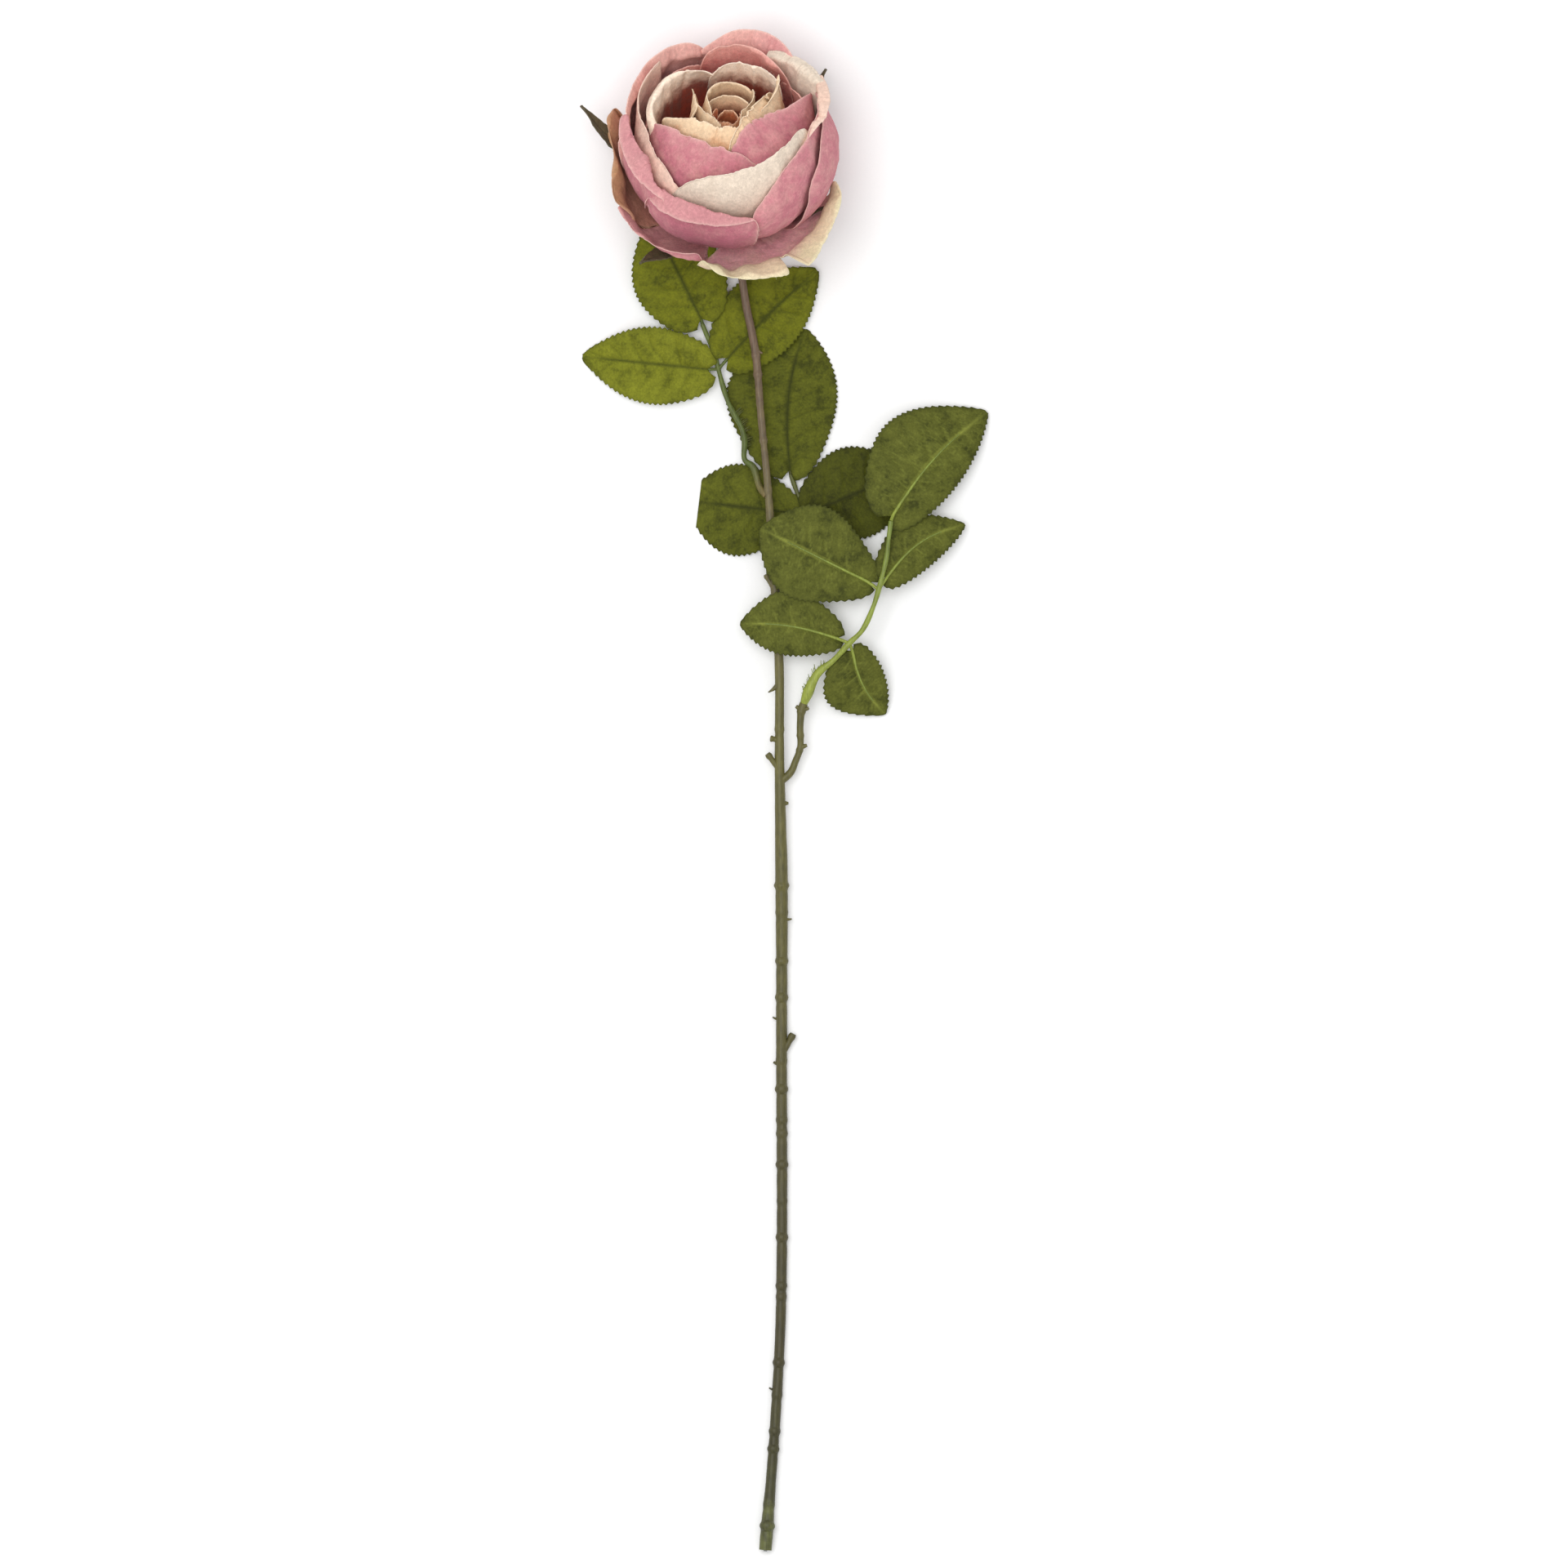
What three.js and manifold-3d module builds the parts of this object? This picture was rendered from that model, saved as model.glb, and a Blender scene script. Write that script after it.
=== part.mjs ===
// An artificial garden rose on a long moulded stem, lying on a table.
// Millimetres. +Y runs up the stem to the flower, +Z up from the table.
import * as THREE from "three";
import { mergeVertices } from "three/addons/utils/BufferGeometryUtils.js";
import Module from "manifold-3d";

const wasm = await Module();
wasm.setup();

// Driving dimensions, in mm and degrees.
const clearance = 0.3; // between touching pieces
const stemLength = 595; // along the table, from the flower's base to the cut end
const stemRadius = 2.3; // at the middle of the lower half
const wireRadius = 0.9;
const wireReach = 0.88; // share of the stem's length that the wire fills
const branchRadius = 1.9;
const flowerBase = new THREE.Vector2(-25, 256); // where the flower's axis meets its calyx, seen from above
const flowerTilt = 42; // of the flower's axis away from upright, towards +Y
const flowerRadius = 50; // at the outermost petals
const flowerDepth = 42; // from the flower's widest level down to its lowest petals
const beltHeight = 40; // of the widest level above the calyx
const heartDepth = 18;
const petalThickness = 0.7;
const petalSpread = 1.45; // width of a petal against its share of the ring
const petalLap = 1.9; // between two petals of a ring where they lap
const coreRadius = 5.5;
const heartRoom = 3; // from the core to the innermost petals
const heartRadius = coreRadius + heartRoom;
const coreTop = 42; // height of the core above the calyx
const calyxRadius = 7;
const calyxLength = 8;
const sepalWidth = 9;
const sepalThickness = 0.6;
const leafThickness = 0.6;
const ribRadius = 0.55;
const stalkRadius = 1.2;

const stemGreen = new THREE.MeshStandardMaterial({ color: 0x4a4526, roughness: 0.6, metalness: 0 });
const wireSteel = new THREE.MeshStandardMaterial({ color: 0x8d8f92, roughness: 0.35, metalness: 1 });
const coreFoam = new THREE.MeshStandardMaterial({ color: 0xb8875f, roughness: 0.9, metalness: 0 });
const sepalBrown = new THREE.MeshStandardMaterial({ color: 0x45401f, roughness: 0.7, metalness: 0 });
const stalkGreen = new THREE.MeshStandardMaterial({ color: 0x6f7a2c, roughness: 0.5, metalness: 0 });
const leafGreen = new THREE.MeshStandardMaterial({ color: 0x5a6618, roughness: 0.75, metalness: 0 });
const petalCream = new THREE.MeshStandardMaterial({ color: 0xdcb795, roughness: 0.85, metalness: 0 });
const petalPink = new THREE.MeshStandardMaterial({ color: 0xc9808f, roughness: 0.85, metalness: 0 });

const rose = new THREE.Group();

// ---- shaping ----

// A closed sheet of even thickness. pointAt(across, along) gives its middle surface,
// with across from -1 to 1 and along from 0 to 1.
function sheet(pointAt, thickness, stepsAcross, stepsAlong) {
  const geometry = new THREE.BoxGeometry(2, 1, 2, stepsAcross, stepsAlong, 1);
  const position = geometry.getAttribute("position");
  for (let i = 0; i < position.count; i++) {
    const across = position.getX(i);
    const along = position.getY(i) + 0.5;
    const face = normalAt(pointAt, across, along);
    const point = pointAt(across, along).addScaledVector(face, (position.getZ(i) * thickness) / 2);
    position.setXYZ(i, point.x, point.y, point.z);
  }
  return closed(geometry);
}

// The direction square to a surface, on the side that across, then along, turn towards.
function normalAt(pointAt, across, along) {
  const step = 1e-3;
  const before = along > 0.5 ? step : 0;
  const sideways = pointAt(across + step, along).sub(pointAt(across - step, along));
  const forwards = pointAt(across, along + step - before).sub(pointAt(across, along - before));
  return sideways.cross(forwards).normalize();
}

// A closed round limb along a curve, with radiusAt(share) for its radius.
function limb(points, radiusAt, sides, steps) {
  const curve = new THREE.CatmullRomCurve3(points);
  const frames = curve.computeFrenetFrames(steps);
  const geometry = new THREE.CylinderGeometry(1, 1, 1, sides, steps);
  const position = geometry.getAttribute("position");
  for (let i = 0; i < position.count; i++) {
    const share = position.getY(i) + 0.5;
    const station = Math.round(share * steps);
    const radius = radiusAt(share);
    const point = curve.getPointAt(station / steps);
    point.addScaledVector(frames.binormals[station], position.getX(i) * radius);
    point.addScaledVector(frames.normals[station], position.getZ(i) * radius);
    position.setXYZ(i, point.x, point.y, point.z);
  }
  return closed(geometry);
}

function closed(geometry) {
  geometry.deleteAttribute("normal");
  geometry.deleteAttribute("uv");
  return mergeVertices(geometry, 1e-3);
}

function solidFrom(geometry) {
  const vertProperties = geometry.getAttribute("position").array;
  const triVerts = new Uint32Array(geometry.index.array);
  return new wasm.Manifold(new wasm.Mesh({ numProp: 3, vertProperties, triVerts }));
}

function geometryFrom(solid) {
  const made = solid.getMesh();
  const geometry = new THREE.BufferGeometry();
  geometry.setAttribute("position", new THREE.BufferAttribute(made.vertProperties, 3));
  geometry.setIndex(new THREE.BufferAttribute(made.triVerts, 1));
  return geometry;
}

function joined(geometries) {
  const whole = geometries.map(solidFrom).reduce((sum, piece) => sum.add(piece));
  return geometryFrom(whole);
}

function addPiece(parent, name, geometry, material) {
  const piece = new THREE.Mesh(geometry, material);
  piece.name = name;
  parent.add(piece);
}

// A value read off a list of [share, value] pairs, straight between them.
function along(table, share) {
  const next = table.findIndex(([at]) => at >= share);
  if (next < 1) return next === 0 ? table[0][1] : table[table.length - 1][1];
  const [from, low] = table[next - 1];
  const [to, high] = table[next];
  return low + ((high - low) * (share - from)) / (to - from);
}

// ---- flower, in its own frame: its axis is +Z and its base is at the origin ----

const flower = new THREE.Group();
flower.rotation.x = -THREE.MathUtils.degToRad(flowerTilt);
rose.add(flower);

const petalRings = [
  { name: "heart_petal", count: 5, rise: 15, close: 0.2, start: 20, material: petalCream },
  { name: "swirl_petal", count: 4, rise: 18, close: 0.17, start: 75, material: petalCream },
  { name: "collar_petal", count: 5, rise: 21, close: 0.16, start: 10, material: petalCream },
  { name: "inner_petal", count: 5, rise: 22, close: 0.15, start: 54, material: petalPink },
  { name: "middle_petal", count: 5, rise: 20, close: 0.14, start: 18, material: petalCream },
  { name: "outer_petal", count: 5, rise: 18, close: 0.1, start: 60, material: petalPink },
  { name: "guard_petal", count: 5, rise: 14, close: -0.02, start: 26, material: petalPink },
];

// The rings are nested cups: radius and depth both grow evenly from the heart outwards.
petalRings.forEach((ring, order) => {
  const out = order / (petalRings.length - 1);
  const radius = THREE.MathUtils.lerp(heartRadius, flowerRadius, out);
  const depth = THREE.MathUtils.lerp(heartDepth, flowerDepth, out);
  const pitch = (2 * Math.PI) / ring.count;
  const width = pitch * petalSpread;
  const slope = petalLap / radius / pitch; // growth of the cup's size per radian, so that neighbours lap
  const smallest = radius * (1 - (slope * width) / 2);
  const baseAngle = Math.asin((coreRadius + clearance + petalThickness / 2) / smallest);
  for (let i = 0; i < ring.count; i++) {
    const middle = THREE.MathUtils.degToRad(ring.start) + i * pitch;
    const pointAt = (across, up) => {
      const turn = (across * width * (0.55 + 0.45 * Math.min(1, 2 * up))) / 2;
      const reach = up * (1 - 0.1 * across * across);
      const size = 1 + slope * turn;
      const cup = cupProfile(radius * size, depth * size, ring, baseAngle, reach);
      const azimuth = middle + turn;
      return new THREE.Vector3(cup.x * Math.cos(azimuth), cup.x * Math.sin(azimuth), cup.y);
    };
    const steps = order < 3 ? 5 : 6;
    addPiece(flower, ring.name + "_" + (i + 1), sheet(pointAt, petalThickness, steps, steps), ring.material);
  }
});

// A cup's side: a quarter ellipse up to the widest level, then a wall that closes or flares.
function cupProfile(radius, depth, ring, baseAngle, share) {
  const beltShare = 0.65;
  if (share < beltShare) {
    const angle = THREE.MathUtils.lerp(baseAngle, Math.PI / 2, share / beltShare);
    return new THREE.Vector2(radius * Math.sin(angle), beltHeight - depth * Math.cos(angle));
  }
  const wall = (share - beltShare) / (1 - beltShare);
  return new THREE.Vector2(radius * (1 - ring.close * wall * wall), beltHeight + ring.rise * wall);
}

const coreOutline = [
  [0, -1],
  [coreRadius, 0],
  [coreRadius, coreTop * 0.45],
  [coreRadius * 0.7, coreTop * 0.85],
  [coreRadius * 0.35, coreTop * 0.97],
  [0, coreTop],
].map(([r, h]) => new THREE.Vector2(r, h));
const coreShape = new THREE.LatheGeometry(coreOutline, 14).rotateX(Math.PI / 2);
addPiece(flower, "flower_core", closed(coreShape), coreFoam);

// The calyx is one moulding: a small bell under the petals with five long sepals.
const sepals = [
  { azimuth: 154, spread: 1.48, end: 85 },
  { azimuth: 230, spread: 1.42, end: 84 },
  { azimuth: 292, spread: 1.16, end: 84 },
  { azimuth: 332, spread: 1.16, end: 97 },
  { azimuth: 52, spread: 1.46, end: 85 },
];
const outerSize = 1 + (petalLap * petalSpread) / (2 * flowerRadius); // of the guard petals' outer edge
const sepalSize = outerSize + (petalThickness + sepalThickness + 3 * clearance) / flowerDepth;
const calyxTop = beltHeight - flowerDepth * sepalSize;
const bellOutline = [
  [0, calyxTop - calyxLength],
  [calyxRadius * 0.4, calyxTop - calyxLength],
  [calyxRadius * 0.62, calyxTop - calyxLength * 0.75],
  [calyxRadius * 0.95, calyxTop - calyxLength * 0.35],
  [calyxRadius, calyxTop],
  [0, calyxTop],
].map(([r, h]) => new THREE.Vector2(r, h));
const bell = closed(new THREE.LatheGeometry(bellOutline, 12).rotateX(Math.PI / 2));
const sepalSheets = sepals.map((sepal) => {
  const azimuth = THREE.MathUtils.degToRad(sepal.azimuth);
  const sideways = new THREE.Vector2(-Math.sin(azimuth), Math.cos(azimuth));
  const pointAt = (across, share) => {
    const angle = THREE.MathUtils.degToRad(THREE.MathUtils.lerp(2, sepal.end, share));
    const size = THREE.MathUtils.lerp(sepalSize, sepal.spread, share ** 3);
    const radius = flowerRadius * size * Math.sin(angle);
    const half = (across * sepalWidth * (0.12 + 0.88 * Math.sin(Math.PI * share ** 0.8))) / 2;
    return new THREE.Vector3(
      radius * Math.cos(azimuth) + sideways.x * half,
      radius * Math.sin(azimuth) + sideways.y * half,
      beltHeight - flowerDepth * size * Math.cos(angle) - sepalThickness / 2,
    );
  };
  return sheet(pointAt, sepalThickness, 2, 9);
});
addPiece(flower, "calyx", joined([bell, ...sepalSheets]), sepalBrown);

// The flower lies on its lowest petal.
flower.updateMatrixWorld(true);
const lowestPetal = new THREE.Box3().setFromObject(flower, true).min.z;
flower.position.set(flowerBase.x, flowerBase.y, -lowestPetal);
flower.updateMatrixWorld(true);

// ---- stem ----

// Share of the way down the stem, drift to the side, height of the middle off the table.
// The lower half lies on the table.
const stemRun = [
  [0.045, -20, 8],
  [0.077, -16.6, 8],
  [0.111, -12.6, 8.5],
  [0.159, -10.1, 9],
  [0.209, -7.2, 9],
  [0.269, -4.7, 8.8],
  [0.339, -2.2, 8.2],
  [0.415, -2, 6.4],
  [0.5, -1.1, 4.2],
  [0.573, -1, 0],
  [0.634, -1.1, 0],
  [0.756, -0.9, 0],
  [0.832, -1.6, 0],
  [0.899, -3.7, 0],
  [0.969, -6.8, 0],
  [1, -8.3, 0],
];
const stemGirth = [
  [0, 0.7],
  [0.11, 0.78],
  [0.185, 0.66],
  [0.25, 0.84],
  [0.4, 0.9],
  [0.45, 1.04],
  [0.5, 1.22],
  [0.57, 1.09],
  [0.7, 1.03],
  [0.85, 0.98],
  [0.95, 0.98],
  [0.985, 1.25],
  [1, 1.2],
];
const stemRadiusAt = (share) => stemRadius * along(stemGirth, share);
const stemPoints = stemRun.map(([share, x, height]) => {
  return new THREE.Vector3(x, flowerBase.y - share * stemLength, Math.max(height, stemRadiusAt(share)));
});
const calyxFoot = new THREE.Vector3(0, 0, calyxTop - calyxLength - clearance);
const neck = [0, 9].map((drop) => flower.localToWorld(calyxFoot.clone().setZ(calyxFoot.z - drop)));
const stemPath = [...neck, ...stemPoints];
const stemCurve = new THREE.CatmullRomCurve3(stemPath);

// The place on the stem's middle line at a share of the way down.
function stemPointAt(share) {
  const height = flowerBase.y - share * stemLength;
  let low = 0;
  let high = 1;
  for (let i = 0; i < 30; i++) {
    const middle = (low + high) / 2;
    if (stemCurve.getPointAt(middle).y > height) low = middle;
    else high = middle;
  }
  return stemCurve.getPointAt(low);
}

// Side shoots cut short and thorns: place on the stem, then the way each one points and its two radii.
const shoots = [
  { share: 0.107, away: [3.4, -2.5, 0.5], root: 1, tip: 0.35 },
  { share: 0.287, away: [-4.2, 7, 0.5], root: 1.3, tip: 1 },
  { share: 0.356, away: [-5, -4, 1], root: 1.5, tip: 0.3 },
  { share: 0.398, away: [-4, 0.6, 0.6], root: 1.4, tip: 1.1 },
  { share: 0.42, away: [-5.4, 7, 1], root: 1.4, tip: 1.1 },
  { share: 0.445, away: [3.6, 0, 0.5], root: 1.6, tip: 0.6 },
  { share: 0.53, away: [4.4, -0.5, 0.5], root: 1.1, tip: 0.3 },
  { share: 0.605, away: [-4, 0.8, 0.4], root: 1, tip: 0.3 },
  { share: 0.632, away: [5.2, 9.5, 0.6], root: 1.4, tip: 1.3 },
  { share: 0.638, away: [-3.6, 0.6, 0.2], root: 1.1, tip: 0.5 },
  { share: 0.88, away: [-3.6, 0.8, 0.4], root: 1, tip: 0.3 },
];
const shootLimbs = shoots.map(({ share, away, root, tip }) => {
  const start = stemPointAt(share);
  const points = [0, 0.5, 1].map((part) => start.clone().addScaledVector(new THREE.Vector3(...away), part));
  return limb(points, (at) => THREE.MathUtils.lerp(root, tip, at), 6, 3);
});

// The side branch that carries the right sprig.
const branchShare = 0.429;
const branchRun = [
  [0, 0, 0],
  [4.7, 4, 0.2],
  [6.8, 8.6, 0.5],
  [9, 15.1, 1],
  [9, 24.1, 1.8],
  [9.6, 31.5, 2.2],
  [10.6, 34.5, 2.4],
].map(([x, y, z]) => stemPointAt(branchShare).add(new THREE.Vector3(x, y, z)));
const branchLimb = limb(branchRun, (at) => branchRadius * (1 - 0.25 * Math.sin(Math.PI * at)), 7, 12);
const branchKnobs = [
  [3, [3, 1, 0.5]],
  [5, [-2.4, 1.8, 0.6]],
  [5, [3.2, 1, 0.6]],
].map(([at, away]) => {
  const points = [0, 0.5, 1].map((part) => branchRun[at].clone().addScaledVector(new THREE.Vector3(...away), part));
  return limb(points, (share) => branchRadius * (0.7 - 0.3 * share), 6, 2);
});

const stemSteps = 72;
const stemLimb = limb(stemPath, (at) => stemRadiusAt(stemShareAt(at)), 8, stemSteps);
// The share of the way down the stem at a share of its path.
function stemShareAt(at) {
  return (flowerBase.y - stemCurve.getPointAt(at).y) / stemLength;
}

// The wire's channel opens at the cut end.
const wireTop = 1 - wireReach;
const channelSteps = 44;
const wirePoints = [];
for (let i = 0; i <= channelSteps; i++) {
  wirePoints.push(stemPointAt(THREE.MathUtils.lerp(wireTop, 1, i / channelSteps)));
}
const cutEnd = wirePoints[channelSteps];
const endWay = cutEnd.clone().sub(wirePoints[channelSteps - 1]).normalize();
const channelPoints = [
  wirePoints[0].clone().addScaledVector(stemPointAt(wireTop - 0.01).sub(wirePoints[0]).normalize(), clearance),
  ...wirePoints.slice(1, -1),
  cutEnd.clone().addScaledVector(endWay, 3),
];
const channel = limb(channelPoints, () => wireRadius + clearance, 6, channelSteps);
const wire = limb(wirePoints, () => wireRadius, 6, channelSteps);
const stemBody = solidFrom(joined([stemLimb, branchLimb, ...branchKnobs, ...shootLimbs]));
addPiece(rose, "stem", geometryFrom(stemBody.subtract(solidFrom(channel))), stemGreen);
addPiece(rose, "stem_wire", wire, wireSteel);

// ---- sprigs ----

// Each sprig is a moulded stalk with a rib along every leaflet, measured from its root.
// A leaflet runs from base to tip, with a half width on each side, a sideways bow of its middle line,
// a rise in the middle, a drop of its edges, and the share of its length where it is widest.
// node is the stalk's point that the leaflet's rib starts from, side the face that the rib lies on.
const sprigs = [
  {
    name: "right_sprig",
    root: branchRun[branchRun.length - 1].clone().add(new THREE.Vector3(0.9, 2.4, 0.8)),
    side: 1,
    stalk: [
      [0, 0, 0],
      [4.9, 10.4, 2],
      [12.3, 16.8, 4],
      [19.2, 24.2, 5.6],
      [24.8, 29.8, 6],
      [29.6, 39.8, 6.4],
      [32.1, 47.8, 6.8],
      [35.6, 62.2, 7],
      [36.6, 71, 7],
      [37.5, 78, 7],
    ],
    leaflets: [
      { node: 9, base: [38, 79.9, 5], tip: [80, 126.4, -7], left: 26, right: 15.5, bow: 3.4, rise: 3, drop: 2, belly: 0.42 },
      { node: 6, base: [35.5, 52.9, 5], tip: [70.3, 76.7, -4], left: 13, right: 11, bow: 4.5, rise: 2, drop: 1, belly: 0.42 },
      { node: 6, base: [28, 50.9, 4.8], tip: [-20.1, 74.9, 5], left: 21.4, right: 21.5, bow: 0, rise: 1, drop: 1, belly: 0.55 },
      { node: 3, base: [14, 26.2, 3.4], tip: [-29.1, 32.8, 3.4], left: 13, right: 16, bow: -2.3, rise: 1, drop: 0.5, belly: 0.5 },
      { node: 3, base: [20.5, 20.9, 3.4], tip: [35, -7.2, -7.2], left: 10.8, right: 17.5, bow: -2.8, rise: 2, drop: 1, belly: 0.42 },
    ],
  },
  {
    name: "left_sprig",
    root: stemPointAt(0.2134).add(new THREE.Vector3(-3.6, 1.5, -2)),
    side: -1,
    stalk: [
      [0, 0, 0],
      [-3.2, 9.3, -1.2],
      [-6.8, 12.4, -2],
      [-6.8, 20.3, -2.6],
      [-7.9, 25.7, -2.8],
      [-14.4, 38.6, -3],
      [-18.4, 52.3, -3],
      [-20.2, 58.8, -2.8],
      [-22.7, 65.3, -2.6],
      [-25.5, 72.3, -2.4],
    ],
    leaflets: [
      { node: 9, base: [-25.9, 74.3, -0.6], tip: [-48.2, 119.1, 0], left: 21, right: 20, bow: 0, rise: 1, drop: 1, belly: 0.42 },
      { node: 6, base: [-23, 52.2, -1], tip: [-78.5, 57.9, -6.6], left: 17.8, right: 16.2, bow: 0, rise: 2, drop: 1, belly: 0.42 },
      { node: 6, base: [-14.4, 56.9, -1], tip: [25.2, 96.1, -4], left: 19.5, right: 16.5, bow: 1, rise: 0.4, drop: 1, belly: 0.42 },
    ],
  },
  {
    name: "low_sprig",
    root: stemPointAt(0.2905).add(new THREE.Vector3(2.8, 1, -3)),
    side: -1,
    stalk: [
      [0, 0, 0],
      [4.6, 12.8, -2.4],
      [7.6, 25.5, -3.4],
      [8.7, 38.3, -3.6],
      [6.2, 45.8, -3.6],
      [4, 52, -3.6],
    ],
    leaflets: [
      { node: 5, base: [3.7, 54, -1.8], tip: [10.2, 116.6, -5], left: 27.5, right: 21.4, bow: 4, rise: 0.5, drop: 1.2, belly: 0.5 },
      { node: 3, base: [12.2, 35.3, -1.8], tip: [56, 53.6, -5.3], left: 21, right: 20, bow: 0, rise: 0.4, drop: 1, belly: 0.46 },
      { node: 3, base: [5.2, 35.2, -1.8], tip: [-36.6, 40.2, -5.3], left: 21.7, right: 18.7, bow: 0, rise: 0.4, drop: 1, belly: 0.5 },
    ],
  },
];

// A point of a leaflet's middle surface.
function leafPoint(leaf, across, share) {
  const base = new THREE.Vector3(...leaf.base);
  const tip = new THREE.Vector3(...leaf.tip);
  const way = tip.clone().sub(base).setZ(0).normalize();
  const leftward = new THREE.Vector3(-way.y, way.x, 0);
  const fullness = Math.sin(Math.PI * share ** (Math.log(0.5) / Math.log(leaf.belly))) ** 0.75;
  const half = (across > 0 ? leaf.right : leaf.left) * (0.04 + 0.96 * fullness);
  const point = base.lerp(tip, share);
  point.addScaledVector(leftward, leaf.bow * Math.sin(Math.PI * share) - across * half);
  point.z += leaf.rise * Math.sin(Math.PI * share) - leaf.drop * across * across * fullness;
  return point;
}

for (const sprig of sprigs) {
  const group = new THREE.Group();
  group.position.copy(sprig.root);
  rose.add(group);
  const stalkPoints = sprig.stalk.map((point) => new THREE.Vector3(...point));
  const mouldings = [limb(stalkPoints, (at) => stalkRadius * (1.15 - 0.35 * at), 7, 18)];
  const lift = sprig.side * (leafThickness / 2 + clearance + ribRadius);
  sprig.leaflets.forEach((leaf, i) => {
    const pointAt = (across, share) => leafPoint(leaf, across, share);
    addPiece(group, sprig.name + "_leaf_" + (i + 1), sheet(pointAt, leafThickness, 4, 8), leafGreen);
    const ribPoints = [0.02, 0.2, 0.4, 0.6, 0.7].map((share) => {
      return pointAt(0, share).addScaledVector(normalAt(pointAt, 0, share), lift);
    });
    const ribPath = [stalkPoints[leaf.node], ...ribPoints];
    mouldings.push(limb(ribPath, (at) => ribRadius * (1.3 - 0.6 * at), 6, 9));
  });
  addPiece(group, sprig.name + "_stalk", joined(mouldings), stalkGreen);
}

// The part's origin is the middle of its bounding box, on the table.
const root = new THREE.Group();
root.add(rose);
root.updateMatrixWorld(true);
const box = new THREE.Box3().setFromObject(rose, true);
rose.position.set(-(box.min.x + box.max.x) / 2, -(box.min.y + box.max.y) / 2, -box.min.z);

export default root;
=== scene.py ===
import math

import bpy
import numpy as np
from mathutils import Matrix, Vector, noise


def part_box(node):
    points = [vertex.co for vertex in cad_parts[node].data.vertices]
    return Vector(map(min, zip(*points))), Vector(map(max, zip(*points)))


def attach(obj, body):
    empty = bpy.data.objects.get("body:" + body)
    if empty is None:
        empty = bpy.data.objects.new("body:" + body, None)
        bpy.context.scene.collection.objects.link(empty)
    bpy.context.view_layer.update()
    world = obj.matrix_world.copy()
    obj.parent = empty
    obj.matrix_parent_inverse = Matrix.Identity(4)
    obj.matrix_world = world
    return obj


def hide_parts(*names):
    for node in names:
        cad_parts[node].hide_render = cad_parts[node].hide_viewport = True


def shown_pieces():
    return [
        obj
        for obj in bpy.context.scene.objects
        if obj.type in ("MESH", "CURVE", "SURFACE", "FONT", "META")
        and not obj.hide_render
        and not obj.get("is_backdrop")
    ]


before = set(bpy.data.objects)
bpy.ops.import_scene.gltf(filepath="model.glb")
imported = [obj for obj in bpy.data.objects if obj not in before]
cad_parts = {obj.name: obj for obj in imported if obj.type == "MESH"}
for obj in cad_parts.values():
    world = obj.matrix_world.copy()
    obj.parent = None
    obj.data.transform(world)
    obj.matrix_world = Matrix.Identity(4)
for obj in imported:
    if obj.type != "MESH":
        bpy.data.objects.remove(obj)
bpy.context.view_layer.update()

mm = 0.001
print("frame loaded:", len(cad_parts), "nodes")

# looking straight down on the rose as it lies on the table
shot = dict(height=12.0, lens=625.0, aimX=0.8, aimY=4.4, focusHeight=20.0)
cameraData = bpy.data.cameras.new("camera")
cameraData.lens = shot["lens"]
cameraData.clip_end = 60.0
camera = bpy.data.objects.new("camera", cameraData)
camera.location = (shot["aimX"] * mm, shot["aimY"] * mm, shot["height"] + shot["focusHeight"] * mm)
bpy.context.scene.collection.objects.link(camera)
bpy.context.scene.camera = camera
bpy.context.scene.view_settings.view_transform = "Standard"

studio = dict(sky=0.74, keyPower=34.0, keySize=1.7, keyFrom=(-0.4, 0.2, 2.4), floorSize=8.0,
              floorDrop=0.2)


def toLinear(code):
    values = [int(code[i:i + 2], 16) / 255 for i in (1, 3, 5)]
    return tuple(v / 12.92 if v <= 0.04045 else ((v + 0.055) / 1.055) ** 2.4 for v in values) + (1.0,)


def addNode(tree, kind, inputs=None, **settings):
    # inputs are plain values, sockets to link from, or nodes whose first output is linked
    node = tree.nodes.new(kind)
    for name, value in settings.items():
        setattr(node, name, value)
    for name, value in (inputs or {}).items():
        if isinstance(value, bpy.types.Node):
            value = value.outputs[0]
        if isinstance(value, bpy.types.NodeSocket):
            tree.links.new(value, node.inputs[name])
        else:
            node.inputs[name].default_value = value
    return node


def compute(tree, operation, *values):
    return addNode(tree, "ShaderNodeMath", dict(enumerate(values)), operation=operation).outputs[0]


def scaled(tree, vector, amount):
    return addNode(tree, "ShaderNodeVectorMath", {0: vector, 3: amount}, operation="SCALE").outputs[0]


def noiseOn(tree, vector, scale, detail, roughness=0.5, distortion=0.0):
    inputs = {"Vector": vector, "Scale": scale, "Detail": detail, "Roughness": roughness,
              "Distortion": distortion}
    return addNode(tree, "ShaderNodeTexNoise", inputs).outputs["Fac"]


def remap(tree, value, start, end, low=0.0, high=1.0, shape="LINEAR"):
    inputs = {"Value": value, "From Min": start, "From Max": end, "To Min": low, "To Max": high}
    return addNode(tree, "ShaderNodeMapRange", inputs, interpolation_type=shape).outputs[0]


def mixTones(tree, share, first, second):
    first, second = [toLinear(tone) if isinstance(tone, str) else tone for tone in (first, second)]
    return addNode(tree, "ShaderNodeMix", {0: share, 6: first, 7: second}, data_type="RGBA").outputs[2]


def readMark(tree, name):
    return addNode(tree, "ShaderNodeAttribute", attribute_name=name).outputs["Fac"]


def newMaterial(name):
    material = bpy.data.materials.new(name)
    material.use_nodes = True
    material.node_tree.nodes.clear()
    return material, material.node_tree


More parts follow.
